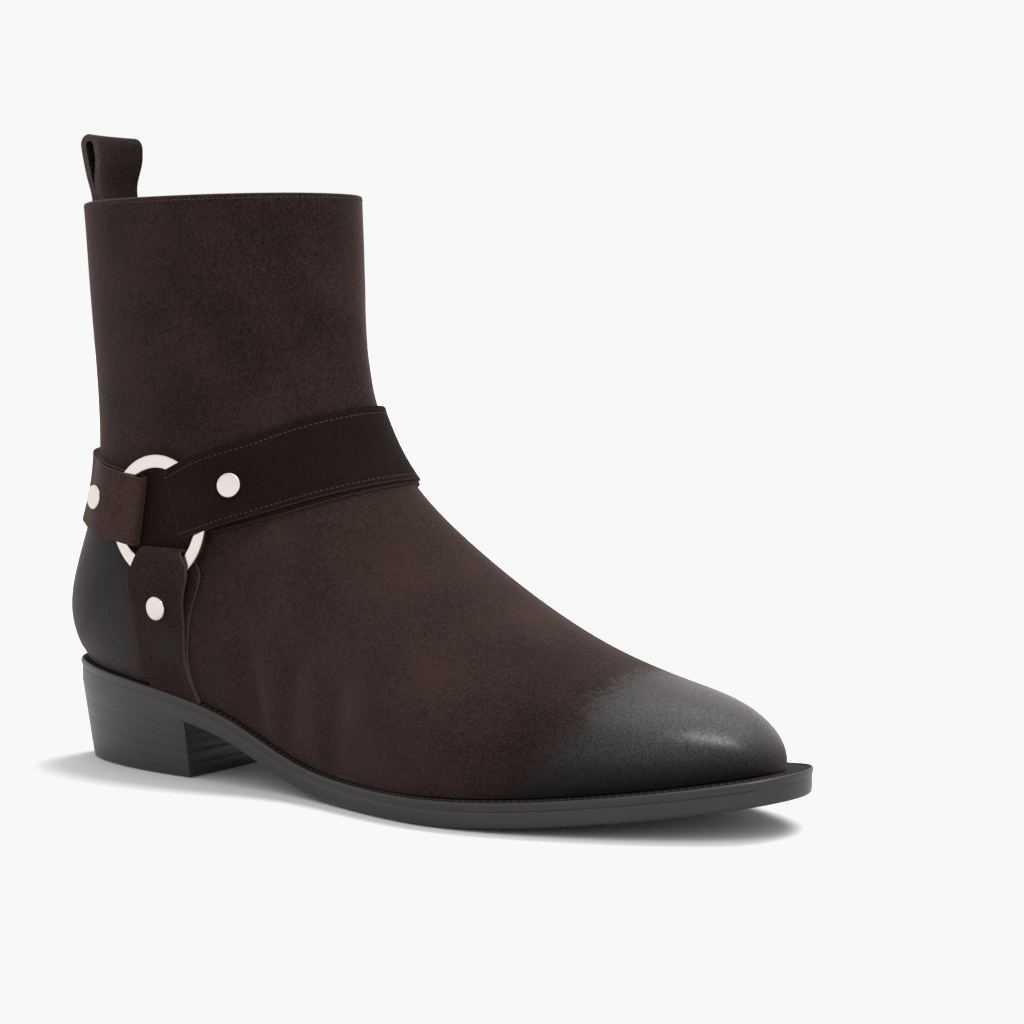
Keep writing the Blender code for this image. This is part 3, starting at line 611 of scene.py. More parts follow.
def soften(made, width, angle=35.0):
    """Rounds the cut edges of a piece by a width in millimetres."""
    bevel = made.modifiers.new("cut edges", "BEVEL")
    bevel.width = width * MM
    bevel.segments = 2
    bevel.limit_method = "ANGLE"
    bevel.angle_limit = math.radians(angle)
    settle(made)
    shape = bmesh.new()
    shape.from_mesh(made.data)
    bmesh.ops.dissolve_degenerate(shape, dist=SLIVER, edges=shape.edges)
    shape.to_mesh(made.data)
    shape.free()
    return made


def seat_piece(made, slot, *nodes):
    """A finished piece goes with the boot, in the place of its solids."""
    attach(made, "root")
    if nodes:
        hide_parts(*nodes)
    return made


def loft(loops, wrap=False):
    """Points and faces that join loops, one after the other."""
    size = len(loops[0])
    faces = []
    for level in range(len(loops) if wrap else len(loops) - 1):
        low = level * size
        high = (level + 1) % len(loops) * size
        for i in range(size):
            j = (i + 1) % size
            faces.append((low + i, low + j, high + j, high + i))
    return [point for loop in loops for point in loop], faces


def cross_cap(first, size):
    """Faces that close a loop of two like sides, point to opposite point."""
    faces = []
    for k in range(size // 2):
        right = (first + k, first + k + 1)
        left = (first + (size - k) % size, first + (size - k - 1) % size)
        faces.append(tuple(dict.fromkeys((right[0], right[1], left[1], left[0]))))
    return faces


# Finishes

class Paint:
    """A node tree that is being laid out."""

    def __init__(self, tree):
        self.nodes = tree.nodes
        self.links = tree.links

    def fill(self, node, inputs):
        """Sets inputs of a node, each to a value or to what another node puts out."""
        for name, value in inputs.items():
            if isinstance(value, bpy.types.NodeSocket):
                self.links.new(value, node.inputs[name])
            else:
                node.inputs[name].default_value = value

    def add(self, kind, inputs=None, **settings):
        """New node with its inputs and settings."""
        node = self.nodes.new(kind)
        for name, value in settings.items():
            setattr(node, name, value)
        self.fill(node, inputs or {})
        return node

    def where(self):
        """Place on the piece, in its own coordinates."""
        return self.add("ShaderNodeTexCoord").outputs["Object"]

    def mark(self, name):
        """A mark that the piece's points carry."""
        return self.add("ShaderNodeAttribute", attribute_name=name).outputs["Fac"]

    def noise(self, where, scale, detail=3.0, rough=0.6):
        """Cloudy pattern, its scale per metre."""
        values = {"Vector": where, "Scale": scale, "Detail": detail, "Roughness": rough}
        return self.add("ShaderNodeTexNoise", values).outputs["Fac"]

    def sum(self, first, second, operation="ADD"):
        """Sum of two values, or what else is made of them."""
        return self.add("ShaderNodeMath", {0: first, 1: second}, operation=operation).outputs[0]

    def times(self, first, second):
        """Product of two values."""
        return self.sum(first, second, "MULTIPLY")

    def weigh(self, *parts):
        """Sum of values, each times its weight."""
        total = self.times(*parts[0])
        for part in parts[1:]:
            total = self.sum(total, self.times(*part))
        return total

    def spread(self, value, low, high, to_low=0.0, to_high=1.0):
        """Value carried softly from one range to another."""
        values = {"Value": value, "From Min": low, "From Max": high, "To Min": to_low, "To Max": to_high}
        return self.add("ShaderNodeMapRange", values, interpolation_type="SMOOTHSTEP").outputs["Result"]

    def blend(self, share, first, second):
        """Mix of two colours by a share."""
        return self.add("ShaderNodeMix", {0: share, 6: first, 7: second}, data_type="RGBA").outputs[2]

    def bump(self, height, strength, depth):
        """Small relief, its depth in millimetres."""
        values = {"Height": height, "Strength": strength, "Distance": depth * MM}
        return self.add("ShaderNodeBump", values).outputs["Normal"]


def shader_group(name, inputs, outputs):
    """Empty shader group with named inputs (name, kind, default) and outputs (name, kind)."""
    tree = bpy.data.node_groups.new(name, "ShaderNodeTree")
    for label, kind, value in inputs:
        socket = tree.interface.new_socket(label, in_out="INPUT", socket_type=kind)
        socket.default_value = value
    for label, kind in outputs:
        tree.interface.new_socket(label, in_out="OUTPUT", socket_type=kind)
    paint = Paint(tree)
    source = paint.add("NodeGroupInput")
    end = paint.add("NodeGroupOutput")
    return tree, paint, source.outputs, end.inputs


FLOAT = "NodeSocketFloat"


def nap_group():
    """Brushed nap of suede: its patchy tone and its fine pile."""
    tree, paint, given, out = shader_group(
        "suede nap", [("Patch", FLOAT, 42.0), ("Pile", FLOAT, 1500.0)],
        [("Tone", FLOAT), ("Pile", FLOAT)])
    where = paint.where()
    patch = paint.noise(where, given["Patch"], 1.5, 0.5)
    streak = paint.noise(where, 420.0, 3.0, 0.6)
    pile = paint.noise(where, given["Pile"], 2.0, 0.7)
    tuft = paint.noise(where, 620.0, 2.0, 0.6)
    paint.links.new(paint.weigh((patch, 0.20), (streak, 0.15), (pile, 0.65)), out["Tone"])
    paint.links.new(paint.sum(pile, paint.times(tuft, 0.8)), out["Pile"])
    return tree


def burnish_group():
    """Breaks the soft edge of a burnished patch into specks."""
    tree, paint, given, out = shader_group(
        "burnish specks", [("Mark", FLOAT, 0.0)], [("Burnish", FLOAT), ("Grain", FLOAT)])
    where = paint.where()
    fine = paint.spread(paint.noise(where, 2300.0, 2.0, 0.7), 0.3, 0.7)
    middle = paint.spread(paint.noise(where, 700.0, 2.0, 0.6), 0.3, 0.7)
    broad = paint.spread(paint.noise(where, 110.0, 3.0, 0.6), 0.3, 0.7)
    speck = paint.weigh((fine, 0.56), (middle, 0.34), (broad, 0.14))
    level = paint.sum(given["Mark"], paint.sum(speck, 0.52, "SUBTRACT"))
    paint.links.new(paint.spread(level, 0.22, 0.78), out["Burnish"])
    fine_grain = paint.noise(where, 2100.0, 1.0, 0.5)
    wide_grain = paint.noise(where, 900.0, 2.0, 0.6)
    paint.links.new(paint.weigh((fine_grain, 0.68), (wide_grain, 0.32)), out["Grain"])
    return tree


def streak_group():
    """Fine lines that run along the edge of the sole."""
    tree, paint, given, out = shader_group("edge streaks", [("Level", FLOAT, 0.0)], [("Streak", FLOAT)])
    parts = paint.add("ShaderNodeSeparateXYZ", {0: paint.where()}).outputs
    along = paint.weigh((parts[0], 7.0), (parts[1], 7.0))
    lines = paint.add("ShaderNodeCombineXYZ", {0: along, 1: given["Level"]}).outputs[0]
    paint.links.new(paint.noise(lines, 2.6, 4.0, 0.62), out["Streak"])
    return tree


groups = {}


def group(name):
    """Shader group, built once."""
    makers = {"nap": nap_group, "burnish": burnish_group, "streak": streak_group}
    if name not in groups:
        groups[name] = makers[name]()
    return groups[name]


def finish(name):
    """New material with its paint and its Principled shader."""
    made = bpy.data.materials.new(name)
    made.use_nodes = True
    return made, Paint(made.node_tree), made.node_tree.nodes["Principled BSDF"]


def rgba(colour, scale=1.0):
    """Opaque colour, made darker or lighter."""
    return (colour[0] * scale, colour[1] * scale, colour[2] * scale, 1.0)


def suede(name, dark, light, black, sheen):
    """Suede whose tone follows its nap and a mark of painted shade and light, burnished smooth and black
    where another mark says so.
    """
    made, paint, shader = finish(name)
    nap = paint.add("ShaderNodeGroup", node_tree=group("nap")).outputs
    mark = paint.mark("burnish")
    worn = paint.add("ShaderNodeGroup", {"Mark": mark}, node_tree=group("burnish")).outputs
    burnish, grain = worn["Burnish"], worn["Grain"]
    # The shade mark darkens the tone with painted shade, and lightens it with painted light where it is
    # below zero
    tone = paint.sum(paint.spread(nap["Tone"], 0.35, 0.65), paint.mark("shade"), "SUBTRACT")
    brown = paint.blend(tone, rgba(dark), rgba(light))
    smooth_black = paint.blend(paint.spread(grain, 0.38, 0.62), rgba(black, 0.5), rgba(black, 1.35))
    wax = paint.times(paint.spread(grain, 0.36, 0.56, 0.50, 1.10), paint.mark("gloss"))
    pile = paint.times(nap["Pile"], paint.spread(burnish, 0.0, 1.0, 1.0, 0.3))
    relief = paint.sum(pile, paint.times(grain, burnish))
    paint.fill(shader, {
        "Base Color": paint.blend(burnish, brown, smooth_black),
        "Roughness": paint.spread(burnish, 0.0, 1.0, 0.95, 0.62),
        "Normal": paint.bump(relief, 0.55, 0.35),
        "Specular IOR Level": 0.12,
        "Coat Weight": paint.times(burnish, wax),
        "Coat Roughness": 0.34,
        "Sheen Weight": sheen,
        "Sheen Roughness": 0.42,
        "Sheen Tint": (0.62, 0.46, 0.43, 1.0),
    })
    return made


def cut_leather(name, colour):
    """Raw cut edge of suede, lighter and rough."""
    made, paint, shader = finish(name)
    fibre = paint.noise(paint.where(), 1500.0, 3.0, 0.7)
    paint.fill(shader, {
        "Base Color": paint.blend(paint.spread(fibre, 0.3, 0.7), rgba(colour, 0.6), rgba(colour, 1.3)),
        "Roughness": 0.95,
        "Normal": paint.bump(fibre, 0.7, 0.4),
        "Specular IOR Level": 0.1,
    })
    return made


def lining_leather(name, colour):
    """Smooth lining leather with pores."""
    made, paint, shader = finish(name)
    where = paint.where()
    cloud = paint.noise(where, 60.0, 3.0, 0.55)
    pore = paint.noise(where, 1300.0, 2.0, 0.6)
    paint.fill(shader, {
        "Base Color": paint.blend(cloud, rgba(colour, 0.75), rgba(colour, 1.25)),
        "Roughness": paint.spread(pore, 0.3, 0.7, 0.5, 0.7),
        "Normal": paint.bump(pore, 0.4, 0.2),
        "Specular IOR Level": 0.3,
    })
    return made


def sole_leather(name, colour, rough, shine=0.5):
    """Stained and polished edge of a leather sole, with fine lines along its layers."""
    made, paint, shader = finish(name)
    level = paint.mark("level")
    lines = paint.add("ShaderNodeGroup", {"Level": level}, node_tree=group("streak")).outputs["Streak"]
    where = paint.where()
    cloud = paint.noise(where, 90.0, 4.0, 0.6)
    speck = paint.noise(where, 1100.0, 2.0, 0.6)
    shade = paint.weigh((lines, 0.7), (cloud, 0.4))
    paint.fill(shader, {
        "Base Color": paint.blend(paint.spread(shade, 0.35, 0.75), rgba(colour, 0.85), rgba(colour, 1.2)),
        "Roughness": paint.spread(shade, 0.3, 0.8, rough - 0.05, rough + 0.08),
        "Normal": paint.bump(paint.weigh((lines, 0.4), (speck, 0.3)), 0.1, 0.12),
        "Specular IOR Level": shine,
    })
    return made


def grained(name, colour, grain, tones, rough=None, relief=None, **constants):
    """Finish whose tone, and where given its roughness and relief, follow one grain."""
    made, paint, shader = finish(name)
    fine = paint.noise(paint.where(), *grain)
    inputs = {"Base Color": paint.blend(fine, rgba(colour, tones[0]), rgba(colour, tones[1]))}
    if rough:
        inputs["Roughness"] = paint.spread(fine, 0.3, 0.7, *rough)
    if relief:
        inputs["Normal"] = paint.bump(fine, *relief)
    paint.fill(shader, {**inputs, **constants})
    return made


def rubber(name, colour):
    """Fine-grained rubber."""
    return grained(name, colour, (900.0, 3.0, 0.6), (0.8, 1.3), (0.3, 0.42), (0.1, 0.1))


def nickel(name, colour, rough):
    """Polished nickel with a slight haze."""
    return grained(name, colour, (120.0, 2.0, 0.5), (0.97, 1.03), (rough, rough + 0.05), Metallic=1.0)


def thread(name, colour):
    """Twisted thread, dull."""
    return grained(name, colour, (2200.0, 2.0, 0.6), (0.65, 1.3), relief=(0.5, 0.15),
                   **{"Roughness": 0.8, "Specular IOR Level": 0.25})


# Settings

def length_setting(name, description, default):
    return bpy.props.FloatProperty(name=name, description=description, default=default, unit="LENGTH")


class BootSizes(bpy.types.PropertyGroup):
    """Sizes of what is laid over the solids."""

    skin_step: length_setting("Skin step", "Longest facet along the upper", 0.0022)
    strap_ply: length_setting("Strap layer", "Thickness of one strap layer", 0.0012)
    strap_gap: length_setting("Strap gap", "Clearance between a strap and the upper", 0.00015)
    edge_round: length_setting("Edge rounding", "Rounding of cut leather edges", 0.00035)
    stitch_pitch: length_setting("Stitch pitch", "From one stitch to the next", 0.0019)
    stitch_length: length_setting("Stitch length", "Length of one stitch", 0.0014)
    stitch_width: length_setting("Thread width", "Width of the thread", 0.00045)
    collar_inset: length_setting("Collar inset", "Stitch row from the collar's edge", 0.0017)
    stitch_inset: length_setting("Stitch inset", "Stitch row from the edge of the leather", 0.0028)


def colour_setting(name, description, default):
    return bpy.props.FloatVectorProperty(
        name=name, description=description, default=default, subtype="COLOR", size=3, min=0.0, max=1.0)


class BootColours(bpy.types.PropertyGroup):
    """Colours of the boot's finishes."""

    suede_dark: colour_setting("Suede, dark", "Suede with its nap laid down", (0.0104, 0.0050, 0.0041))
    suede_light: colour_setting("Suede, light", "Suede with its nap brushed up", (0.0410, 0.0225, 0.0189))
    burnish: colour_setting("Burnish", "Burnished toe and heel", (0.0140, 0.0130, 0.0126))
    cut: colour_setting("Cut edge", "Raw edges of the straps", (0.075, 0.056, 0.050))
    lining: colour_setting("Lining", "Inside of the shaft and the insole", (0.040, 0.030, 0.026))
    sole: colour_setting("Sole", "Stained edge of the sole and heel", (0.0255, 0.0213, 0.0202))
    heel_rubber: colour_setting("Heel rubber", "Wearing layer of the heel", (0.022, 0.019, 0.018))
    nickel: colour_setting("Nickel", "Rings and rivets", (0.84, 0.79, 0.73))
    thread: colour_setting("Thread", "Stitches of the collar and the straps", (0.054, 0.040, 0.036))
    welt_thread: colour_setting("Welt thread", "Stitches of the welt", (0.028, 0.022, 0.020))
    floor: colour_setting("Floor", "Studio floor", (0.845, 0.845, 0.845))


def tinted(colour, scale):
    """Colour made darker or lighter."""
    return [value * scale for value in colour]


class Workshop:
    """What the pieces share: the skin of the upper, the finishes and the paths of the straps."""

    def __init__(self, scene):
        sizes = scene.boot_sizes
        colours = scene.boot_colours
        self.sizes = sizes
        self.ply = sizes.strap_ply * 1000
        self.gap = sizes.strap_gap * 1000
        self.skin = Skin(sizes.skin_step * 1000)
        self.paths = {}

        def toned_suede(name, dark, light, sheen):
            return suede(name, tinted(colours.suede_dark, dark), tinted(colours.suede_light, light),
                         colours.burnish, sheen)

        self.suede = toned_suede("upper suede", 1.0, 1.0, 0.28)
        self.strap = toned_suede("strap suede", 1.0, 1.0, 0.14)
        # The heel strap's copy of the suede is painted lighter: painted light falling on it from the left
        self.heel_strap = toned_suede("heel strap suede painted lighter", 2.2, 1.5, 0.22)
        self.instep = toned_suede("instep suede", 0.45, 0.36, 0.05)
        self.loop = toned_suede("loop suede", 0.85, 0.85, 0.10)
        self.cut = cut_leather("cut suede", colours.cut)
        self.lining = lining_leather("shaft lining", colours.lining)
        self.insole = lining_leather("insole leather", tinted(colours.lining, 1.15))
        self.welt = sole_leather("welt leather", colours.sole, 0.32)
        self.welt_top = sole_leather("welt top", tinted(colours.sole, 0.4), 0.7, 0.15)
        self.sole = sole_leather("sole leather", colours.sole, 0.32)
        self.heel = sole_leather("heel leather", colours.sole, 0.30)
        self.rubber = rubber("heel rubber", colours.heel_rubber)
        self.ring = nickel("ring nickel", colours.nickel, 0.16)
        self.rivet = nickel("rivet nickel", colours.nickel, 0.20)
        self.thread = thread("seam thread", colours.thread)
        self.welt_thread = thread("welt thread", colours.welt_thread)


bench = []


def workshop(context):
    """The workshop that all the steps share."""
    if not bench:
        bench.append(Workshop(context.scene))
    return bench[0]


# Upper

def burnish_marks(points):
    """How far the toe and the heel counter are burnished, 0 to 1, at points of the upper."""
    x, _, z = np.moveaxis(points, -1, 0)
    above = z - np.vectorize(seat_under)(x)
    low = 1 - ramp(above, *LOW_SIDES)
    edge_x = TOE_EDGE[0] + TOE_EDGE[1] * low
    width = TOE_SOFT[0] + TOE_SOFT[1] * low
    toe = np.clip(0.5 + (x - edge_x) / (2 * width), 0, 1)
    toe = toe - TOE_RUB_SHARE * ramp(x, *TOE_RUB) * (1 - ramp(above, *TOE_RUB_HEIGHT))
    back = ramp(-x, *COUNTER_FRONT) * ramp(-z, *COUNTER_TOP)
    back = back * (1 - COUNTER_FOOT_SHARE * (1 - ramp(above, *COUNTER_FOOT)))
    return np.clip(np.maximum(toe, back), 0, 1)


def gloss_marks(x, z):
    """How far the burnish shines: most at the toe, little near the welt."""
    least, gain = GLOSS_RANGE
    return (least + gain * ramp(x, *GLOSS_TOE)) * ramp(z - GLOSS_FOOT_SLOPE * np.abs(x), *GLOSS_FOOT)


def painted_shade_marks(x, z):
    """Painted shade on the nap: inside the rings, deepest at their backs, and up the shaft; painted light
    low on the upper; and the nap darker towards the toe.
    """
    least, gain = RING_PAINTED_SHADE_RANGE
    shade = 1 - ramp(np.hypot(x - RING_X, z - RING_Z), *RING_PAINTED_SHADE)
    shade = shade * (least + gain * ramp(-x, *RING_PAINTED_SHADE_BACK))
    shade = np.maximum(shade, FORE_DARKENING_SHARE * ramp(x, *FORE_DARKENING))
    least, gain = SHAFT_PAINTED_SHADE_RANGE
    return shade + gain * ramp(z, *SHAFT_PAINTED_SHADE) + least


def make_upper(shop):
    """Suede upper with its lining: one closed wall, open at the collar and along the feather line."""
    skin = shop.skin
    outer = skin.folded.copy()
    below = outer[-1, :, 2] - outer[..., 2]
    outer[..., 2] -= RIM_RISE * smooth(1 - below / RIM_REACH)
    rows, columns = outer.shape[:2]
    normals = skin_normals(outer, skin.heel)
    thick = THIN_TOE + (WALL - THIN_TOE) * smooth(np.array(skin.rows) / THIN_TOE_ROWS)
    inner = outer - normals * thick[:, None, None]
    rim = []
    for turn in np.radians(RIM_TURNS):
        lift = RIM_RISE * math.sin(turn)
        share = (1 - math.cos(turn)) / 2
        rim.append(outer[-1] + (inner[-1] - outer[-1]) * share + np.array((0.0, 0.0, lift)))
    sheet = np.concatenate([outer, np.array(rim), inner[::-1]])
    faces = quads(len(sheet), columns)
    slots = [0 if k < (rows + 2) * (columns - 1) else 1 for k in range(len(faces))]
    mirror = len(sheet) - 1
    for r in range(skin.heel):
        for c in (0, columns - 1):
            faces.append((r * columns + c, (r + 1) * columns + c,
                          (mirror - r - 1) * columns + c, (mirror - r) * columns + c))
            slots.append(0)
    points = sheet.reshape(-1, 3)
    x, _, z = points.T
    # The shade mark paints shade inside the rings and up the shaft, and light low on the upper
    marks = {"burnish": burnish_marks(points), "gloss": gloss_marks(x, z), "shade": painted_shade_marks(x, z)}
    made = piece("boot_upper", points, faces, (shop.suede, shop.lining), slots, marks, sharp=70.0)
    seat_piece(made, "suede", "upper")


# Sole

def half_widths(sweep, grow):
    """Outer and inner half width of the feather line, grown by a margin that closes at heel and toe."""
    return feather_curve(sweep) + grow(sweep) * min(1.0, END_CLOSE * math.sin(math.pi * sweep))


def outline(grow, height):
    """Loop round the foot: the feather line grown by a margin, at a height that depends on x."""
    back = HEEL_X - grow(0.0)
    front = TOE_X + grow(1.0)
    outer = []
    inner = []
    for k in range(SOLE_STATIONS + 1):
        sweep = k / SOLE_STATIONS
        x = back + (front - back) * share_of(sweep)
        side = half_widths(sweep, grow)
        outer.append((x, -side[0], height(x)))
        inner.append((x, side[1], height(x)))
    return outer + inner[-2:0:-1]


def edge(inset):
    """Margin of the sole's edge, less an inset."""
    return lambda sweep: float(margin_curve(sweep)[0]) - inset


def inside(inset):
    """Margin inside the feather line."""
    return lambda sweep: -inset


def sole_levels(points):
    """Height of each point under the top of the welt, for the lines along the edge."""
    return {"level": [seat_under(point[0]) - point[2] for point in points]}


def stack(profile):
    """Loops round the foot from rows (margin, line along the boot, rise over that line)."""
    return [outline(grow, lambda x: line(x) + rise) for grow, line, rise in profile]


def capped(loops):
    """Points and faces of a stack of loops, closed across at its two ends."""
    points, faces = loft(loops)
    size = len(loops[0])
    return points, faces + cross_cap(0, size) + cross_cap(size * (len(loops) - 1), size)


def tread_edge(inset):
    """Margin near the tread: rounded off under the foot, square where the heel joins on."""
    def grow(sweep):
        x = HEEL_X + (TOE_X - HEEL_X) * share_of(sweep)
        free = HEEL_SEAT_ROUND + (1 - HEEL_SEAT_ROUND) * float(ramp(x, *BREAST_BLEND))
        return edge(SOLE_INSET + (inset - SOLE_INSET) * free)(sweep)
    return grow


def make_outsole(shop):
    """Outsole, rounded at the tread."""
    top = -WELT_THICK - SEAM
    profile = (
        (2.0, tread, 0.0), (1.2, tread, 0.12), (0.75, tread, 0.4), (0.5, tread, 0.9),
        (SOLE_INSET, tread, 2.0), (SOLE_INSET, seat, top - 1.0), (SOLE_INSET, seat, top - 0.1),
        (SOLE_INSET + SEAM_ROUND, seat, top),
    )
    points, faces = capped(stack([(tread_edge(inset), line, rise) for inset, line, rise in profile]))
    made = piece("boot_outsole", points, faces, (shop.sole,), marks=sole_levels(points), sharp=50.0)
    seat_piece(made, "sole_leather", "outsole")


def make_welt(shop):
    """Welt with a rounded edge; its top face has a finish of its own."""
    profile = (
        (edge(SOLE_INSET + SEAM_ROUND), seat, -WELT_THICK), (edge(SOLE_INSET), seat, 0.1 - WELT_THICK),
        (edge(0.3), seat, 0.9 - WELT_THICK), (edge(0.05), seat, -1.1), (edge(0.02), seat, -0.7),
        (edge(0.2), seat, -0.3), (edge(0.6), seat, -0.07), (edge(1.1), seat, 0.0),
        (inside(WELT_REACH), seat, 0.0), (inside(WELT_REACH), seat, -WELT_THICK),
    )
    loops = stack(profile)
    points, faces = loft(loops, wrap=True)
    top_face = 6
    slots = [1 if number // len(loops[0]) >= top_face else 0 for number in range(len(faces))]
    finishes = (shop.welt, shop.welt_top)
    made = piece("boot_welt", points, faces, finishes, slots, sole_levels(points), sharp=50.0)
    seat_piece(made, "welt_leather", "welt")


def make_insole(shop):
    """Insole with a rounded upper edge."""
    inset = WALL + INSOLE_INSET
    top = INSOLE_RISE
    profile = ((0.0, -WELT_THICK), (0.0, top - 0.8), (0.25, top - 0.25), (0.9, top))
    points, faces = capped(stack([(inside(inset + more), seat, rise) for more, rise in profile]))
    made = piece("boot_insole", points, faces, (shop.insole,), sharp=60.0)
    seat_piece(made, "insole_leather", "insole")


def heel_loop(height, inset):
    """Loop round the heel, from the outer breast corner round the back to the inner one."""
    grow = edge(HEEL_INSET)
    back = HEEL_X - grow(0.0)
    front = TOE_X + grow(1.0)
    breast = sweep_of((BREAST_X - back) / (front - back))
    outer = []
    inner = []
    for k in range(HEEL_STATIONS + 1):
        sweep = breast * k / HEEL_STATIONS
        x = back + (front - back) * share_of(sweep)
        z = height(x)
        drop = 1 - z / tread(x)
        side = half_widths(sweep, grow)
        lean = 1 - drop * HEEL_BACK_TAPER / (BREAST_X - back)
        narrow = 1 - drop * HEEL_SIDE_TAPER - inset / side.max() if k else 1.0
        heel_x = BREAST_X - inset + (x - BREAST_X) * (lean - inset / (BREAST_X - back) * 2)
        outer.append((heel_x, -side[0] * narrow, z))
        inner.append((heel_x, side[1] * narrow, z))
    return outer + inner[:0:-1]


def heel_stack(name, levels, finish_used, slot, node):
    """Heel layers from loops (height, inset), closed across at the top and at the bottom."""
    points, faces = capped([heel_loop(height, inset) for height, inset in levels])
    made = piece(name, points, faces, (finish_used,), marks=sole_levels(points))
    seat_piece(made, slot, node)


def make_heel(shop):
    """Block of stacked lifts, with a hairline between them, and the wearing layer under it."""
    foot = TOP_PIECE + SEAM

    def lift(share, raise_by=0.0):
        return lambda x: foot + (tread(x) - SEAM - foot) * share + raise_by

    levels = [(lift(0.0), 0.1), (lift(0.0, 0.1), 0.02), (lift(0.0, 0.3), 0.0)]
    for share in LIFTS:
        levels += [(lift(share, -0.12), 0.0), (lift(share), 0.03), (lift(share, 0.12), 0.0)]
    levels += [(lift(1.0, -0.3), 0.0), (lift(1.0, -0.08), 0.02), (lift(1.0), 0.08)]
    heel_stack("boot_heel_block", levels, shop.heel, "heel_leather", "heel_block")
    wear = ((0.0, 0.9), (0.1, 0.5), (0.35, 0.25), (0.9, 0.12), (TOP_PIECE - 0.3, 0.06),
            (TOP_PIECE - 0.08, 0.08), (TOP_PIECE, 0.15))
    levels = [(lambda x, z=z: z, inset) for z, inset in wear]
    heel_stack("boot_heel_top_piece", levels, shop.rubber, "heel_rubber", "heel_top_piece")


# Harness

def ring_frame(shop, side):
    """Centre of the ring's seat on one side, and its forward, upward and outward directions."""
    forward = np.array((math.cos(RING_TURN), side * math.sin(RING_TURN), 0.0))
    upward = np.array((0.0, 0.0, 1.0))
    outward = np.array((-math.sin(RING_TURN), side * math.cos(RING_TURN), 0.0))
    flat = np.array((RING_X, 0.0, RING_Z))
    highest = 0.0
    for turn in range(RING_FEELERS):
        angle = 2 * math.pi * turn / RING_FEELERS
        for radius in (0.0, RING_INNER, RING_OUTER + RING_CLEAR):
            x = RING_X + radius * math.cos(angle)
            z = RING_Z + radius * math.sin(angle)
            touch = shop.skin.strike((x, 0.0, z), (0.0, side, 0.0))
            highest = max(highest, float(np.dot(touch - flat, outward)))
    return flat + outward * (highest + shop.gap), forward, upward, outward


def make_rings(shop):
    """Flat rings with rounded edges."""
    half = RING_THICK / 2
    soft = RING_SOFT
    inner, outer = (RING_INNER, soft), (RING_OUTER, -soft)
    profile = []
    corners = ((inner, half, 180), (outer, half, 90), (outer, -half, 0), (inner, -half, -90))
    for (radius, step), height, first in corners:
        middle = (radius + step, height - math.copysign(soft, height))
        for angle in np.radians((first, first - 30, first - 60, first - 90)):
            profile.append((middle[0] + soft * math.cos(angle), middle[1] + soft * math.sin(angle)))
    for side, word in SIDES:
        centre, forward, upward, outward = ring_frame(shop, side)
        level = shop.ply + RING_PLAY + half
        loops = []
        for k in range(RING_FACETS):
            angle = 2 * math.pi * k / RING_FACETS
            spoke = forward * math.cos(angle) + upward * math.sin(angle)
            loops.append([centre + spoke * r + outward * (level + h) for r, h in profile])
        points, faces = loft(loops, wrap=True)
        made = piece("boot_ring_" + word, points, faces, (shop.ring,), sharp=60.0)
        seat_piece(made, "ring_nickel", "ring_" + word)


def fold_lines(ply, eye, straight, join):
    """Outer and inner line of a folded end: (distance from the tip, height), round the tip to above."""
    radius = eye / 2 + ply
    run = np.linspace(join, radius, max(5, math.ceil((join - radius) / STRAP_FACET) + 1))
    outer = [(l, 0.0) for l in run]
    inner = [(l, ply) for l in run]
    for angle in np.radians(np.linspace(-90, -270, FOLD_FACETS + 1))[1:-1]:
        outer.append((radius + radius * math.cos(angle), radius + radius * math.sin(angle)))
        inner.append((radius + eye / 2 * math.cos(angle), radius + eye / 2 * math.sin(angle)))
    for l in run[::-1]:
        top = 2 * radius + (2 * ply - 2 * radius) * float(ramp(l, straight, join - straight))
        outer.append((l, top))
        inner.append((l, top - ply + LEDGE))
    return outer, inner


def strap_side(ply, eye, straight, join, start, end, both, thin_end=None):
    """Side view of a strap: points (distance, height) and faces. Folded at its start, or at both ends."""
    points = []
    faces = []

    def add_fold(tip, sign):
        outer, inner = fold_lines(ply, eye, straight, join)
        first = len(points)
        points.extend((tip + sign * l, h) for l, h in outer)
        points.extend((tip + sign * l, h) for l, h in inner)
        for j in range(len(outer) - 1):
            low = first + j
            faces.append((low, low + 1, low + 1 + len(outer), low + len(outer)))

    def add_body(begin, finish_at):
        count = math.ceil((finish_at - begin) / STRAP_FACET)
        first = len(points)
        for k in range(count + 1):
            thick = 2 * ply
            if thin_end:
                thick += (thin_end - 2 * ply) * float(ramp(k / count, *ANCHOR_THIN))
            l = begin + (finish_at - begin) * k / count
            points.extend(((l, 0.0), (l, thick / 2), (l, thick / 2 + LEDGE), (l, thick)))
        for k in range(count):
            low = first + 4 * k
            for step in range(3):
                faces.append((low + step, low + 4 + step, low + 5 + step, low + 1 + step))

    add_fold(start, 1)
    if both:
        add_body(start + join, end - join)
        add_fold(end, -1)
    else:
        add_body(start + join, end)
    return points, faces


def is_ledge(flat, face):
    """Whether a face of the side view is the thin step between the layers."""
    along, heights = zip(*[flat[i] for i in face])
    return max(along) > min(along) and max(heights) - min(heights) < 3 * LEDGE


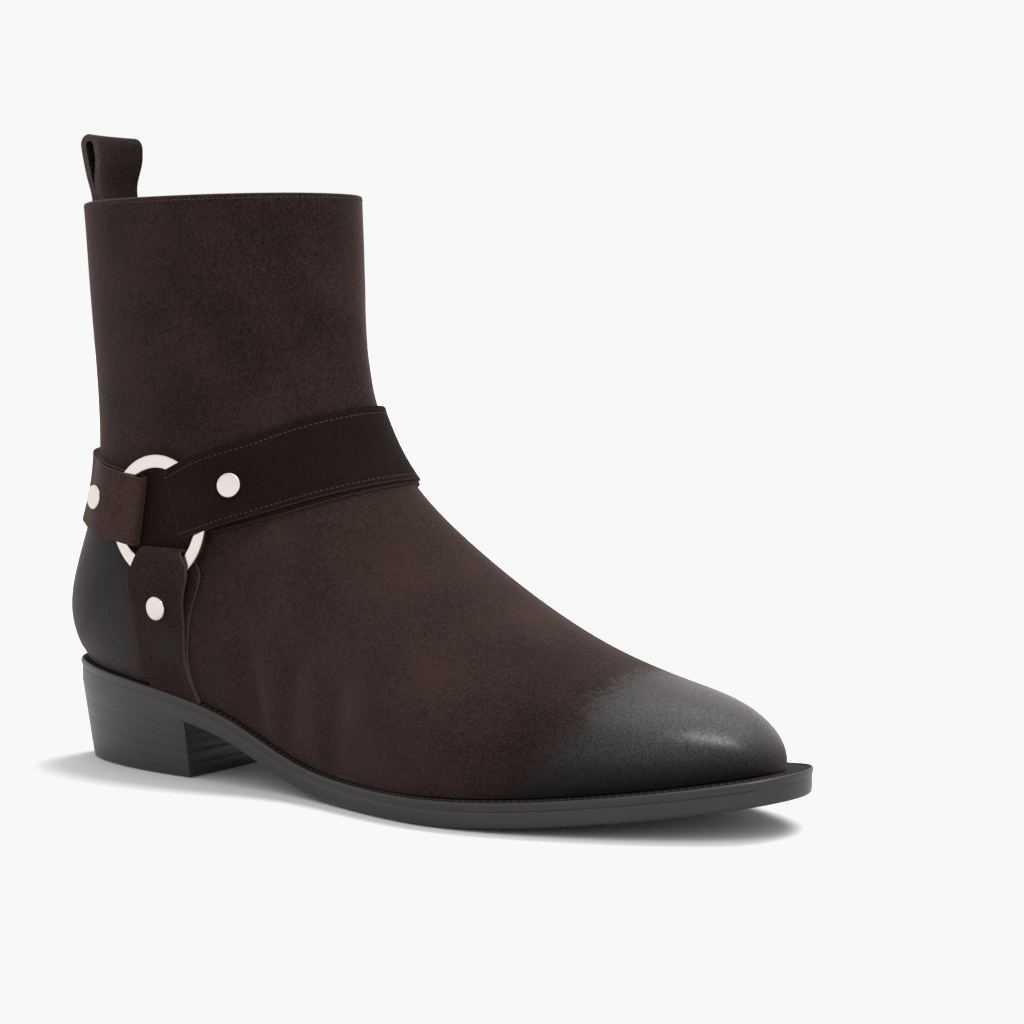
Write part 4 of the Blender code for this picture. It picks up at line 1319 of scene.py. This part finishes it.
def sweep_strap(name, side_view, columns, place, finishes, marks=None):
    """Strap from its side view carried across its width; its cut edges take the second finish."""
    flat, sides = side_view
    merged = {}
    rounded = [(round(l, WELD_DIGITS), round(h, WELD_DIGITS)) for l, h in flat]
    index = [merged.setdefault(spot, len(merged)) for spot in rounded]
    sides = [tuple(index[i] for i in face) for face in sides]
    flat = list(merged)
    rim = {}
    for face in sides:
        for a, b in zip(face, face[1:] + face[:1]):
            if (b, a) in rim:
                del rim[(b, a)]
            elif (a, b) in rim:
                del rim[(a, b)]
            else:
                rim[(a, b)] = True
    points = np.array([place(l, across, h) for across in columns for l, h in flat])
    size = len(flat)
    last = (len(columns) - 1) * size
    faces = [tuple(reversed(face)) for face in sides] + [tuple(i + last for i in face) for face in sides]
    slots = [0 if is_ledge(flat, face) else 1 for face in sides] * 2
    for column in range(len(columns) - 1):
        low = column * size
        faces += [(low + a, low + b, low + size + b, low + size + a) for a, b in rim]
    slots += [0] * (len(faces) - len(slots))
    values = {"burnish": marks(points)} if marks else None
    return piece(name, points, faces, finishes, slots, values, sharp=45.0)


def lay_on(base, normal, seated, outward, loose, height):
    """Point of a strap over the upper, drawn to the ring's seat by a share."""
    base = base + (seated - base) * loose
    normal = normal + (outward - normal) * loose
    return base + normal / np.linalg.norm(normal) * height


def band(shop, heading, pivot, lift):
    """Length and place function of a strap round the upper, from the outer ring to the inner one."""
    ahead = np.array((heading[0], 0.0, heading[1]))
    across_way = np.array((-heading[1], 0.0, heading[0])) * math.copysign(1.0, heading[0])
    sideways = np.array((0.0, 1.0, 0.0))
    hub = np.array((RING_X, 0.0, RING_Z)) + ahead * pivot + across_way * lift
    start = math.atan2(-BAND_HALF, -pivot)
    turns = np.linspace(start, -start, BAND_RAYS)
    strike = shop.skin.strike
    line = np.array([strike(hub, ahead * math.cos(a) + sideways * math.sin(a)) for a in turns])
    run = lengths(line)
    length = float(run[-1])
    frames = {side: ring_frame(shop, side) for side in (OUTER, INNER)}

    def on_upper(distance, across):
        turn = float(np.interp(distance, run, turns))
        return strike(hub + across_way * across, ahead * math.cos(turn) + sideways * math.sin(turn))

    def on_ring(side, distance, across):
        centre, forward, upward, outward = frames[side]
        along = forward * heading[0] + upward * heading[1]
        wide = (forward * -heading[1] + upward * heading[0]) * math.copysign(1.0, heading[0])
        return centre + along * distance + wide * (across + lift), outward

    def place(distance, across, height):
        near = on_upper(distance, across)
        along = on_upper(distance + PROBE, across) - on_upper(distance - PROBE, across)
        wide = on_upper(distance, across + PROBE) - on_upper(distance, across - PROBE)
        normal = np.cross(along, wide)
        normal *= math.copysign(1.0, np.dot(normal, near - hub)) / np.linalg.norm(normal)
        side = OUTER if distance < length / 2 else INNER
        reach = min(distance, length - distance)
        seated, outward = on_ring(side, reach, across)
        loose = 1 - float(ramp(reach, RING_OUTER, BAND_RELEASE))
        return lay_on(near + normal * shop.gap, normal, seated, outward, loose, height)

    return length, place


def ring_fold(shop, tip, rivet):
    """Layer, eye height, straight run and closing point of a fold round a ring, closed past a rivet."""
    closed = rivet + FOLD_REACH
    return shop.ply, RING_THICK + 2 * RING_PLAY, RING_OUTER + RING_PLAY - tip, closed - tip


def strap_top(shop, tip, rivet, reach):
    """Height of the upper face of a strap at a distance from the ring centre."""
    ply, eye, straight, join = ring_fold(shop, tip, rivet)
    high = eye + 2 * ply
    return high + (2 * ply - high) * float(ramp(reach - tip, straight, join - straight))


STITCHED = (-1.0, -0.96, -0.92, -0.88, -0.82, -0.75, -0.6, -0.3, 0.0,
            0.3, 0.6, 0.72, 0.77, 0.82, 0.87, 0.93, 1.0)
PLAIN = (-1.0, -0.97, -0.9, -0.75, -0.5, -0.25, 0.0, 0.25, 0.5, 0.75, 0.9, 0.97, 1.0)


def layer_step(across, height, ply, under, side):
    """Change of half width at one edge: how far the under layer shows beyond the upper one."""
    if across * side <= 0 or height > ply + LEDGE / 2:
        return 0.0
    return max(0.0, under) * abs(across) ** UNDER_TURN


def instep_inset(shop, across):
    """Distance of the stitches from the instep strap's upper edge, or from its trimmed lower edge."""
    return LOWER_INSET if across < 0 else shop.sizes.stitch_inset * 1000


def instep_seam(shop, share, side):
    """Place of the stitches across the instep strap, as a share of its half width."""
    half = float(instep_width(share)[0])
    if side < 0:
        half -= INSTEP_TRIM + max(0.0, float(instep_under(share)[0]))
    return side * (1 - instep_inset(shop, side) / half)


def finish_strap(shop, name, side_view, columns, put, finish_used, length, marks=None):
    """Makes a strap from its side view and keeps its path for the rivets and the stitches."""
    made = sweep_strap("boot_" + name, side_view, columns, put, (finish_used, shop.cut), marks)
    soften(made, shop.sizes.edge_round * 1000)
    seat_piece(made, "strap_suede", name)
    shop.paths[name] = (put, length)


def make_instep_strap(shop):
    """Stitched strap over the instep, its under layer showing below it."""
    heading = (math.cos(INSTEP_RISE), math.sin(INSTEP_RISE))
    length, place = band(shop, heading, INSTEP_PIVOT, INSTEP_LIFT)

    def put(distance, across, height):
        share = distance / length
        half = float(instep_width(share)[0])
        under = float(instep_under(share)[0])
        lower = half - INSTEP_TRIM - under if across < 0 else half
        wide = across * (lower + layer_step(across, height, shop.ply, under, -1))
        inset = instep_inset(shop, across)
        dip = SEAM_DIP * math.exp(-((lower - inset - abs(wide)) / SEAM_DIP_WIDTH) ** 2)
        if height < shop.ply + SEAM_DIP_FROM:
            dip = 0.0
        return place(distance, wide, height - dip)

    fold = ring_fold(shop, INSTEP_TIP, INSTEP_RIVET)
    side_view = strap_side(*fold, INSTEP_TIP, length - INSTEP_TIP, True)
    finish_strap(shop, "instep_strap", side_view, STITCHED, put, shop.instep, length)


def make_heel_strap(shop):
    """Strap round the back of the heel."""
    heading = (-math.cos(HEEL_STRAP_RISE), math.sin(HEEL_STRAP_RISE))
    length, place = band(shop, heading, HEEL_STRAP_PIVOT, 0.0)

    def put(distance, across, height):
        return place(distance, across * float(heel_strap_width(distance / length)[0]), height)

    fold = ring_fold(shop, HEEL_STRAP_TIP, HEEL_STRAP_RIVET)
    side_view = strap_side(*fold, HEEL_STRAP_TIP, length - HEEL_STRAP_TIP, True)
    finish_strap(shop, "heel_strap", side_view, PLAIN, put, shop.heel_strap, length)


def anchor_marks(points):
    """Burnished patch low on the anchor straps."""
    x, _, z = np.moveaxis(points, -1, 0)
    middle_x, middle_z, reach_x, reach_z, strength = ANCHOR_BURNISH
    return strength * np.exp(-((x - middle_x) / reach_x) ** 2 - ((z - middle_z) / reach_z) ** 2)


def anchor_place(shop, side):
    """Place function of the strap from one ring down to the welt."""
    centre, forward, upward, outward = ring_frame(shop, side)
    free = RING_OUTER

    def touch(along, z):
        return shop.skin.strike((RING_X + along, 0.0, z), (0.0, side, 0.0))

    def place(distance, across, height):
        shift, half, tail = anchor_curve(distance)
        along = shift + across * (half + layer_step(across, height, shop.ply, tail, 1))
        floor = RING_Z - seat(RING_X + along) - ANCHOR_CLEAR
        drop = distance
        if distance > free:
            drop = free + (distance - free) * (floor - free) / (ANCHOR_FOOT - free)
        z = RING_Z - drop
        near = touch(along, max(z, RING_Z - floor + ANCHOR_FEEL))
        corner = touch(along, z + PROBE)
        normal = np.cross(touch(along + PROBE, z + PROBE) - corner, touch(along, z + 2 * PROBE) - corner)
        normal *= side * math.copysign(1.0, normal[1]) / np.linalg.norm(normal)
        base = near + normal * shop.gap
        base[2] = z
        seated = centre + forward * along - upward * drop
        loose = 1 - float(ramp(distance, free, ANCHOR_RELEASE))
        return lay_on(base, normal, seated, outward, loose, height)

    return place


def make_anchor_straps(shop):
    """Straps from the rings down to the welt, one on each side."""
    fold = ring_fold(shop, ANCHOR_TIP, ANCHOR_RIVET)
    side_view = strap_side(*fold, ANCHOR_TIP, ANCHOR_FOOT, False, ANCHOR_END)
    for side, word in SIDES:
        name = "anchor_strap_" + word
        put = anchor_place(shop, side)
        finish_strap(shop, name, side_view, PLAIN, put, shop.strap, ANCHOR_FOOT, anchor_marks)


# Pieces set out along rows by geometry nodes

def set_out_points(name, places, along, upward):
    """Bare points in the frame that carry the direction of their row and of the surface."""
    mesh = bpy.data.meshes.new(name)
    mesh.from_pydata(((np.array(places) + SHIFT) * MM).tolist(), [], [])
    for label, vectors in (("along", along), ("upward", upward)):
        layer = mesh.attributes.new(label, "FLOAT_VECTOR", "POINT")
        layer.data.foreach_set("vector", np.array(vectors, np.float32).ravel())
    made = bpy.data.objects.new(name, mesh)
    bpy.context.scene.collection.objects.link(made)
    return made


def set_out_tree(name, sockets):
    """Node tree that turns each copy to its row and surface; returns its parts for the shape to go in."""
    tree = bpy.data.node_groups.new(name, "GeometryNodeTree")
    tree.interface.new_socket("Geometry", in_out="INPUT", socket_type="NodeSocketGeometry")
    tree.interface.new_socket("Geometry", in_out="OUTPUT", socket_type="NodeSocketGeometry")
    made = {}
    for label, kind in sockets:
        made[label] = tree.interface.new_socket(label, in_out="INPUT", socket_type=kind)
    paint = Paint(tree)
    given = paint.add("NodeGroupInput").outputs
    end = paint.add("NodeGroupOutput").inputs
    facing = {}
    for label in ("along", "upward"):
        node = paint.add("GeometryNodeInputNamedAttribute", {"Name": label}, data_type="FLOAT_VECTOR")
        facing[label] = node.outputs["Attribute"]
    stand = paint.add("FunctionNodeAlignRotationToVector", {"Vector": facing["upward"]}, axis="Z")
    turn = paint.add("FunctionNodeAlignRotationToVector",
                     {"Rotation": stand.outputs[0], "Vector": facing["along"]}, axis="X", pivot_axis="Z")
    copies = paint.add("GeometryNodeInstanceOnPoints",
                       {"Points": given["Geometry"], "Rotation": turn.outputs[0]})
    real = paint.add("GeometryNodeRealizeInstances", {"Geometry": copies.outputs[0]})
    round_look = paint.add("GeometryNodeSetShadeSmooth", {"Geometry": real.outputs[0]})
    painted = paint.add("GeometryNodeSetMaterial",
                        {"Geometry": round_look.outputs[0], "Material": given["Finish"]})
    paint.links.new(painted.outputs[0], end["Geometry"])
    return tree, paint, given, copies, {label: socket.identifier for label, socket in made.items()}


def stitch_tree():
    """Tree that lays one sunk bead of thread at each point."""
    sockets = (("Stitch length", FLOAT), ("Thread width", FLOAT), ("Thread height", FLOAT),
               ("Finish", "NodeSocketMaterial"))
    tree, paint, given, copies, names = set_out_tree("stitch row", sockets)
    bead = paint.add("GeometryNodeMeshUVSphere", {"Segments": 8, "Rings": 6, "Radius": 0.5})
    size = paint.add("ShaderNodeCombineXYZ", {
        0: given["Stitch length"], 1: given["Thread width"], 2: given["Thread height"]})
    paint.links.new(bead.outputs[0], copies.inputs["Instance"])
    paint.links.new(size.outputs[0], copies.inputs["Scale"])
    return tree, names


def rivet_tree():
    """Tree that sets one cap at each point."""
    sockets = (("Cap", "NodeSocketObject"), ("Finish", "NodeSocketMaterial"))
    tree, paint, given, copies, names = set_out_tree("rivet caps", sockets)
    cap = paint.add("GeometryNodeObjectInfo", {"Object": given["Cap"]})
    paint.links.new(cap.outputs["Geometry"], copies.inputs["Instance"])
    return tree, names


def set_out(made, tree, names, values):
    """Runs a tree on the points and keeps the result as plain mesh."""
    modifier = made.modifiers.new("set out", "NODES")
    modifier.node_group = tree
    for label, value in values.items():
        modifier[names[label]] = value
    settle(made)
    made.data.set_sharp_from_angle(angle=SET_OUT_SHARP)
    return made


def along_line(at, run, line):
    """Points of a line at distances along it."""
    return np.column_stack([np.interp(at, run, line[:, k]) for k in range(3)])


def row_of(line, normals, pitch):
    """Places, directions and surface normals at an even pitch along a line."""
    run = lengths(line)
    count = int(run[-1] / pitch)
    at = (np.arange(count) + 0.5) * run[-1] / count
    along = along_line(at + ROW_PROBE, run, line) - along_line(at - ROW_PROBE, run, line)
    return along_line(at, run, line), along, along_line(at, run, normals)


def collar_row(shop, inset):
    """Stitch line round the collar, below its edge."""
    grid = shop.skin.folded
    line = []
    for c in range(grid.shape[1]):
        column = grid[::-1, c][:COLLAR_ROWS]
        line.append(along_line([inset], lengths(column), column)[0])
    return np.array(line), skin_normals(grid, shop.skin.heel)[-1]


def strap_row(shop, name, tip, rivet, side):
    """Stitch line along one edge of a band, on its upper face."""
    put, length = shop.paths[name]
    line = []
    facing = []
    start = tip + STRAP_ROW_MARGIN
    for distance in np.linspace(start, length - start, STRAP_ROW_POINTS):
        across = instep_seam(shop, distance / length, side)
        top = strap_top(shop, tip, rivet, min(distance, length - distance))
        low = put(distance, across, top)
        line.append(low)
        facing.append(put(distance, across, top + 1.0) - low)
    return np.array(line), np.array(facing)


def welt_row():
    """Stitch line on the welt, from the outer waist round the toe to the inner waist."""
    loop = np.array(outline(edge(WELT_ROW), lambda x: seat(x) + SEAM))
    first = int(SOLE_STATIONS * WELT_ROW_START)
    line = loop[first:2 * SOLE_STATIONS - first]
    return line, np.tile((0.0, 0.0, 1.0), (len(line), 1))


def make_stitches(shop):
    """Stitches of the collar and the instep strap, and those of the welt."""
    sizes = shop.sizes
    tree, names = stitch_tree()
    lines = [collar_row(shop, sizes.collar_inset * 1000)]
    lines += [strap_row(shop, "instep_strap", INSTEP_TIP, INSTEP_RIVET, side) for side in (-1, 1)]
    seams = [row_of(*line, sizes.stitch_pitch * 1000) for line in lines]
    upper = [np.concatenate(part) for part in zip(*seams)]
    upper_size = (sizes.stitch_length, sizes.stitch_width, sizes.stitch_width * THREAD_FLATNESS)
    welt_size = [value * MM for value in WELT_STITCH]
    welt = row_of(*welt_row(), WELT_PITCH)
    for name, row, (long, wide, high), used, slot in (
            ("boot_stitches", upper, upper_size, shop.thread, "suede"),
            ("boot_welt_stitches", welt, welt_size, shop.welt_thread, "welt_leather")):
        made = set_out_points(name, *row)
        set_out(made, tree, names, {
            "Stitch length": long, "Thread width": wide, "Thread height": high, "Finish": used})
        seat_piece(made, slot)


def rivet_cap():
    """Round cap with a rolled rim and a slightly domed face, standing on the origin."""
    profile = ((0.0, -0.6), (0.97, -0.6), (0.985, 0.1), (1.0, 0.35), (0.985, 0.6), (0.94, 0.82),
               (0.86, 0.95), (0.72, 1.0), (0.4, 1.05), (0.0, 1.08))
    loops = []
    for radius, height in profile:
        reach = radius * RIVET_RADIUS
        angles = [2 * math.pi * k / RIVET_FACETS for k in range(RIVET_FACETS)]
        loops.append([(reach * math.cos(a), reach * math.sin(a), height * RIVET_HEIGHT) for a in angles])
    points, faces = loft(loops)
    return piece("rivet_cap", np.array(points) - SHIFT, faces, ())


def make_rivets(shop):
    """Cap rivets that close the folds of the straps on both sides."""
    spots = []
    for side, word in SIDES:
        for name, tip, distance in (("instep_strap", INSTEP_TIP, INSTEP_RIVET),
                                    ("heel_strap", HEEL_STRAP_TIP, HEEL_STRAP_RIVET)):
            put, length = shop.paths[name]
            top = strap_top(shop, tip, distance, distance)
            spots.append((put, distance if side == OUTER else length - distance, top))
        top = strap_top(shop, ANCHOR_TIP, ANCHOR_RIVET, ANCHOR_RIVET)
        spots.append((shop.paths["anchor_strap_" + word][0], ANCHOR_RIVET, top))
    rows = []
    for put, distance, top in spots:
        middle = put(distance, 0.0, top)
        forward = put(distance + RIVET_RADIUS, 0.0, top) - put(distance - RIVET_RADIUS, 0.0, top)
        facing = np.cross(forward, put(distance, RIVET_PROBE, top) - put(distance, -RIVET_PROBE, top))
        facing *= math.copysign(1.0, np.dot(facing, put(distance, 0.0, top + 1.0) - middle))
        facing /= np.linalg.norm(facing)
        rows.append((middle + facing * RIVET_LIFT, forward, facing))
    made = set_out_points("boot_rivets", *zip(*rows))
    tree, names = rivet_tree()
    cap = rivet_cap()
    set_out(made, tree, names, {"Cap": cap, "Finish": shop.rivet})
    bpy.data.objects.remove(cap, do_unlink=True)
    straps = ("instep", "heel", "anchor")
    nodes = ["_".join(("rivet", strap, word)) for strap in straps for _, word in SIDES]
    seat_piece(made, "rivet_nickel", *nodes)


def make_pull_loop(shop):
    """Tab of folded suede sewn inside the back of the collar."""
    eye = LOOP_DEPTH - 2 * LOOP_PLY
    join = LOOP_TOP - LOOP_JOIN
    side_view = strap_side(LOOP_PLY, eye, LOOP_STRAIGHT, join, 0.0, LOOP_TOP - LOOP_BOTTOM, False)
    top_row = last_curve(len(LAST) - 1)
    collar = float(top_row[1])
    middle = (top_row[0] + top_row[2]) / 2
    strike = shop.skin.strike

    def put(distance, across, height):
        z = LOOP_TOP - distance
        free = float(ramp(z, collar, LOOP_TOP - collar))
        y = LOOP_SHIFT + across * (1.0 + LOOP_FLARE * free) * LOOP_HALF_WIDTH
        level = min(z, collar - LOOP_HOLD)
        back = strike((middle, 0.0, level), (-1.0, 0.0, 0.0))[0]
        here = strike((middle, y, level), (-1.0, 0.0, 0.0))[0]
        x = back + (here - back) * LOOP_CURVE * (1 - LOOP_FLATTEN * free) + WALL + 2 * GAP
        x -= LOOP_LEAN * float(ramp(z, collar, LOOP_LEAN_RISE))
        return np.array((x + height, y, z))

    made = sweep_strap("boot_pull_loop", side_view, PLAIN, put, (shop.loop, shop.cut))
    soften(made, LOOP_ROUND)
    seat_piece(made, "loop_suede", "pull_loop")


# Studio

def make_floor(scene):
    """Plain pale floor, even and matt."""
    mesh = bpy.data.meshes.new("floor")
    half = FLOOR_HALF
    corners = ((-half, -half), (half, -half), (half, half), (-half, half))
    mesh.from_pydata([(x, y, -FLOOR_DROP) for x, y in corners], [], [(0, 1, 2, 3)])
    made, paint, shader = finish("studio floor")
    colour = scene.boot_colours.floor
    cloud = paint.noise(paint.where(), 0.6, 2.0, 0.5)
    paint.fill(shader, {
        "Base Color": paint.blend(cloud, rgba(colour, 0.995), rgba(colour, 1.005)),
        "Roughness": 1.0,
        "Specular IOR Level": 0.0,
    })
    mesh.materials.append(made)
    ground = bpy.data.objects.new("floor", mesh)
    scene.collection.objects.link(ground)
    return ground


def make_world(scene):
    """Glow of the studio's walls and ceiling, and a film that takes all bright light as one white."""
    world = bpy.data.worlds.new("studio")
    world.use_nodes = True
    sky = Paint(world.node_tree)
    ahead = sky.add("ShaderNodeTexCoord").outputs["Generated"]
    height = sky.add("ShaderNodeSeparateXYZ", {0: ahead}).outputs[2]
    sky.fill(world.node_tree.nodes["Background"], {
        "Color": (1.0, 1.0, 1.0, 1.0),
        "Strength": sky.spread(height, *CEILING_FROM, WALL_GLOW, CEILING_GLOW),
    })
    scene.world = world
    scene.view_settings.view_transform = "Standard"
    scene.view_settings.use_curve_mapping = True
    film = scene.view_settings.curve_mapping
    film.extend = "HORIZONTAL"
    film.curves[3].points[-1].location = (WHITE, WHITE)
    for point in film.curves[3].points:
        point.handle_type = "VECTOR"
    film.update()


def make_lamps(scene, ground):
    """Lamps: some light the boot or the floor alone, and only the sole and heel shade the floor's own."""
    for name, place, spread, power, lit in LAMPS:
        lamp = bpy.data.lights.new(name, "SUN")
        lamp.angle = math.radians(spread)
        lamp.energy = power
        holder = bpy.data.objects.new(name, lamp)
        holder.rotation_euler = (-Vector(place)).to_track_quat("-Z", "Y").to_euler()
        scene.collection.objects.link(holder)
        if lit == "both":
            continue
        reach = bpy.data.collections.new(name)
        reach.objects.link(ground)
        reach.collection_objects[0].light_linking.link_state = "INCLUDE" if lit == "floor" else "EXCLUDE"
        holder.light_linking.receiver_collection = reach
        if lit == "floor":
            lamp.cycles.max_bounces = 0
            stops = bpy.data.collections.new(name + " stops")
            for low in LOW_PIECES:
                stops.objects.link(bpy.data.objects[low])
            holder.light_linking.blocker_collection = stops


def make_camera(scene):
    """Camera at the photograph's angle."""
    pitch = math.atan((PICTURE / 2 - HORIZON) / FOCAL)
    lens = bpy.data.cameras.new("camera")
    lens.sensor_width = FILM_WIDTH
    lens.lens = FOCAL / PICTURE * FILM_WIDTH
    lens.clip_start = 0.01
    camera = bpy.data.objects.new("camera", lens)
    camera.location = Vector((np.array(CAMERA_PLACE) + SHIFT) * MM)
    level = math.cos(pitch)
    ahead = Vector((-math.sin(CAMERA_TURN) * level, math.cos(CAMERA_TURN) * level, -math.sin(pitch)))
    camera.rotation_euler = ahead.to_track_quat("-Z", "Y").to_euler()
    scene.collection.objects.link(camera)
    scene.camera = camera


# Operators

class BOOT_OT_upper(bpy.types.Operator):
    """Make the suede upper with its lining"""

    bl_idname = "boot.upper"
    bl_label = "Upper"

    def execute(self, context):
        make_upper(workshop(context))
        return {"FINISHED"}


class BOOT_OT_sole(bpy.types.Operator):
    """Make the insole, welt, outsole and heel"""

    bl_idname = "boot.sole"
    bl_label = "Sole and heel"

    def execute(self, context):
        shop = workshop(context)
        make_insole(shop)
        make_welt(shop)
        make_outsole(shop)
        make_heel(shop)
        return {"FINISHED"}


class BOOT_OT_straps(bpy.types.Operator):
    """Make the harness straps"""

    bl_idname = "boot.straps"
    bl_label = "Harness straps"

    def execute(self, context):
        shop = workshop(context)
        make_instep_strap(shop)
        make_heel_strap(shop)
        make_anchor_straps(shop)
        return {"FINISHED"}


class BOOT_OT_rings(bpy.types.Operator):
    """Make the harness rings"""

    bl_idname = "boot.rings"
    bl_label = "Rings"

    def execute(self, context):
        make_rings(workshop(context))
        return {"FINISHED"}


class BOOT_OT_rivets(bpy.types.Operator):
    """Set the cap rivets on the straps"""

    bl_idname = "boot.rivets"
    bl_label = "Rivets"

    def execute(self, context):
        make_rivets(workshop(context))
        return {"FINISHED"}


class BOOT_OT_pull_loop(bpy.types.Operator):
    """Make the pull loop at the back of the collar"""

    bl_idname = "boot.pull_loop"
    bl_label = "Pull loop"

    def execute(self, context):
        make_pull_loop(workshop(context))
        return {"FINISHED"}


class BOOT_OT_stitches(bpy.types.Operator):
    """Lay the stitches of the collar, the instep strap and the welt"""

    bl_idname = "boot.stitches"
    bl_label = "Stitches"

    def execute(self, context):
        make_stitches(workshop(context))
        return {"FINISHED"}


class BOOT_OT_stage(bpy.types.Operator):
    """Set up the floor, the light and the camera"""

    bl_idname = "boot.stage"
    bl_label = "Studio"

    def execute(self, context):
        ground = make_floor(context.scene)
        make_world(context.scene)
        make_lamps(context.scene, ground)
        make_camera(context.scene)
        return {"FINISHED"}


class BOOT_PT_panel(bpy.types.Panel):
    """Lists the steps that make the boot"""

    bl_idname = "BOOT_PT_panel"
    bl_label = "Harness boot"
    bl_space_type = "VIEW_3D"
    bl_region_type = "UI"
    bl_category = "Boot"

    def draw(self, context):
        for operator in OPERATORS:
            self.layout.operator(operator.bl_idname)
        for settings in (context.scene.boot_sizes, context.scene.boot_colours):
            for name in settings.__annotations__:
                self.layout.prop(settings, name)


OPERATORS = (
    BOOT_OT_upper, BOOT_OT_sole, BOOT_OT_straps, BOOT_OT_rings, BOOT_OT_rivets, BOOT_OT_pull_loop,
    BOOT_OT_stitches, BOOT_OT_stage,
)
CLASSES = (BootSizes, BootColours) + OPERATORS + (BOOT_PT_panel,)


def register():
    for item in CLASSES:
        bpy.utils.register_class(item)
    bpy.types.Scene.boot_sizes = bpy.props.PointerProperty(type=BootSizes)
    bpy.types.Scene.boot_colours = bpy.props.PointerProperty(type=BootColours)


def unregister():
    del bpy.types.Scene.boot_colours
    del bpy.types.Scene.boot_sizes
    for item in reversed(CLASSES):
        bpy.utils.unregister_class(item)


def main():
    register()
    bpy.ops.boot.upper()
    bpy.ops.boot.sole()
    bpy.ops.boot.straps()
    bpy.ops.boot.rings()
    bpy.ops.boot.rivets()
    bpy.ops.boot.pull_loop()
    bpy.ops.boot.stitches()
    bpy.ops.boot.stage()


if __name__ == "__main__":
    main()
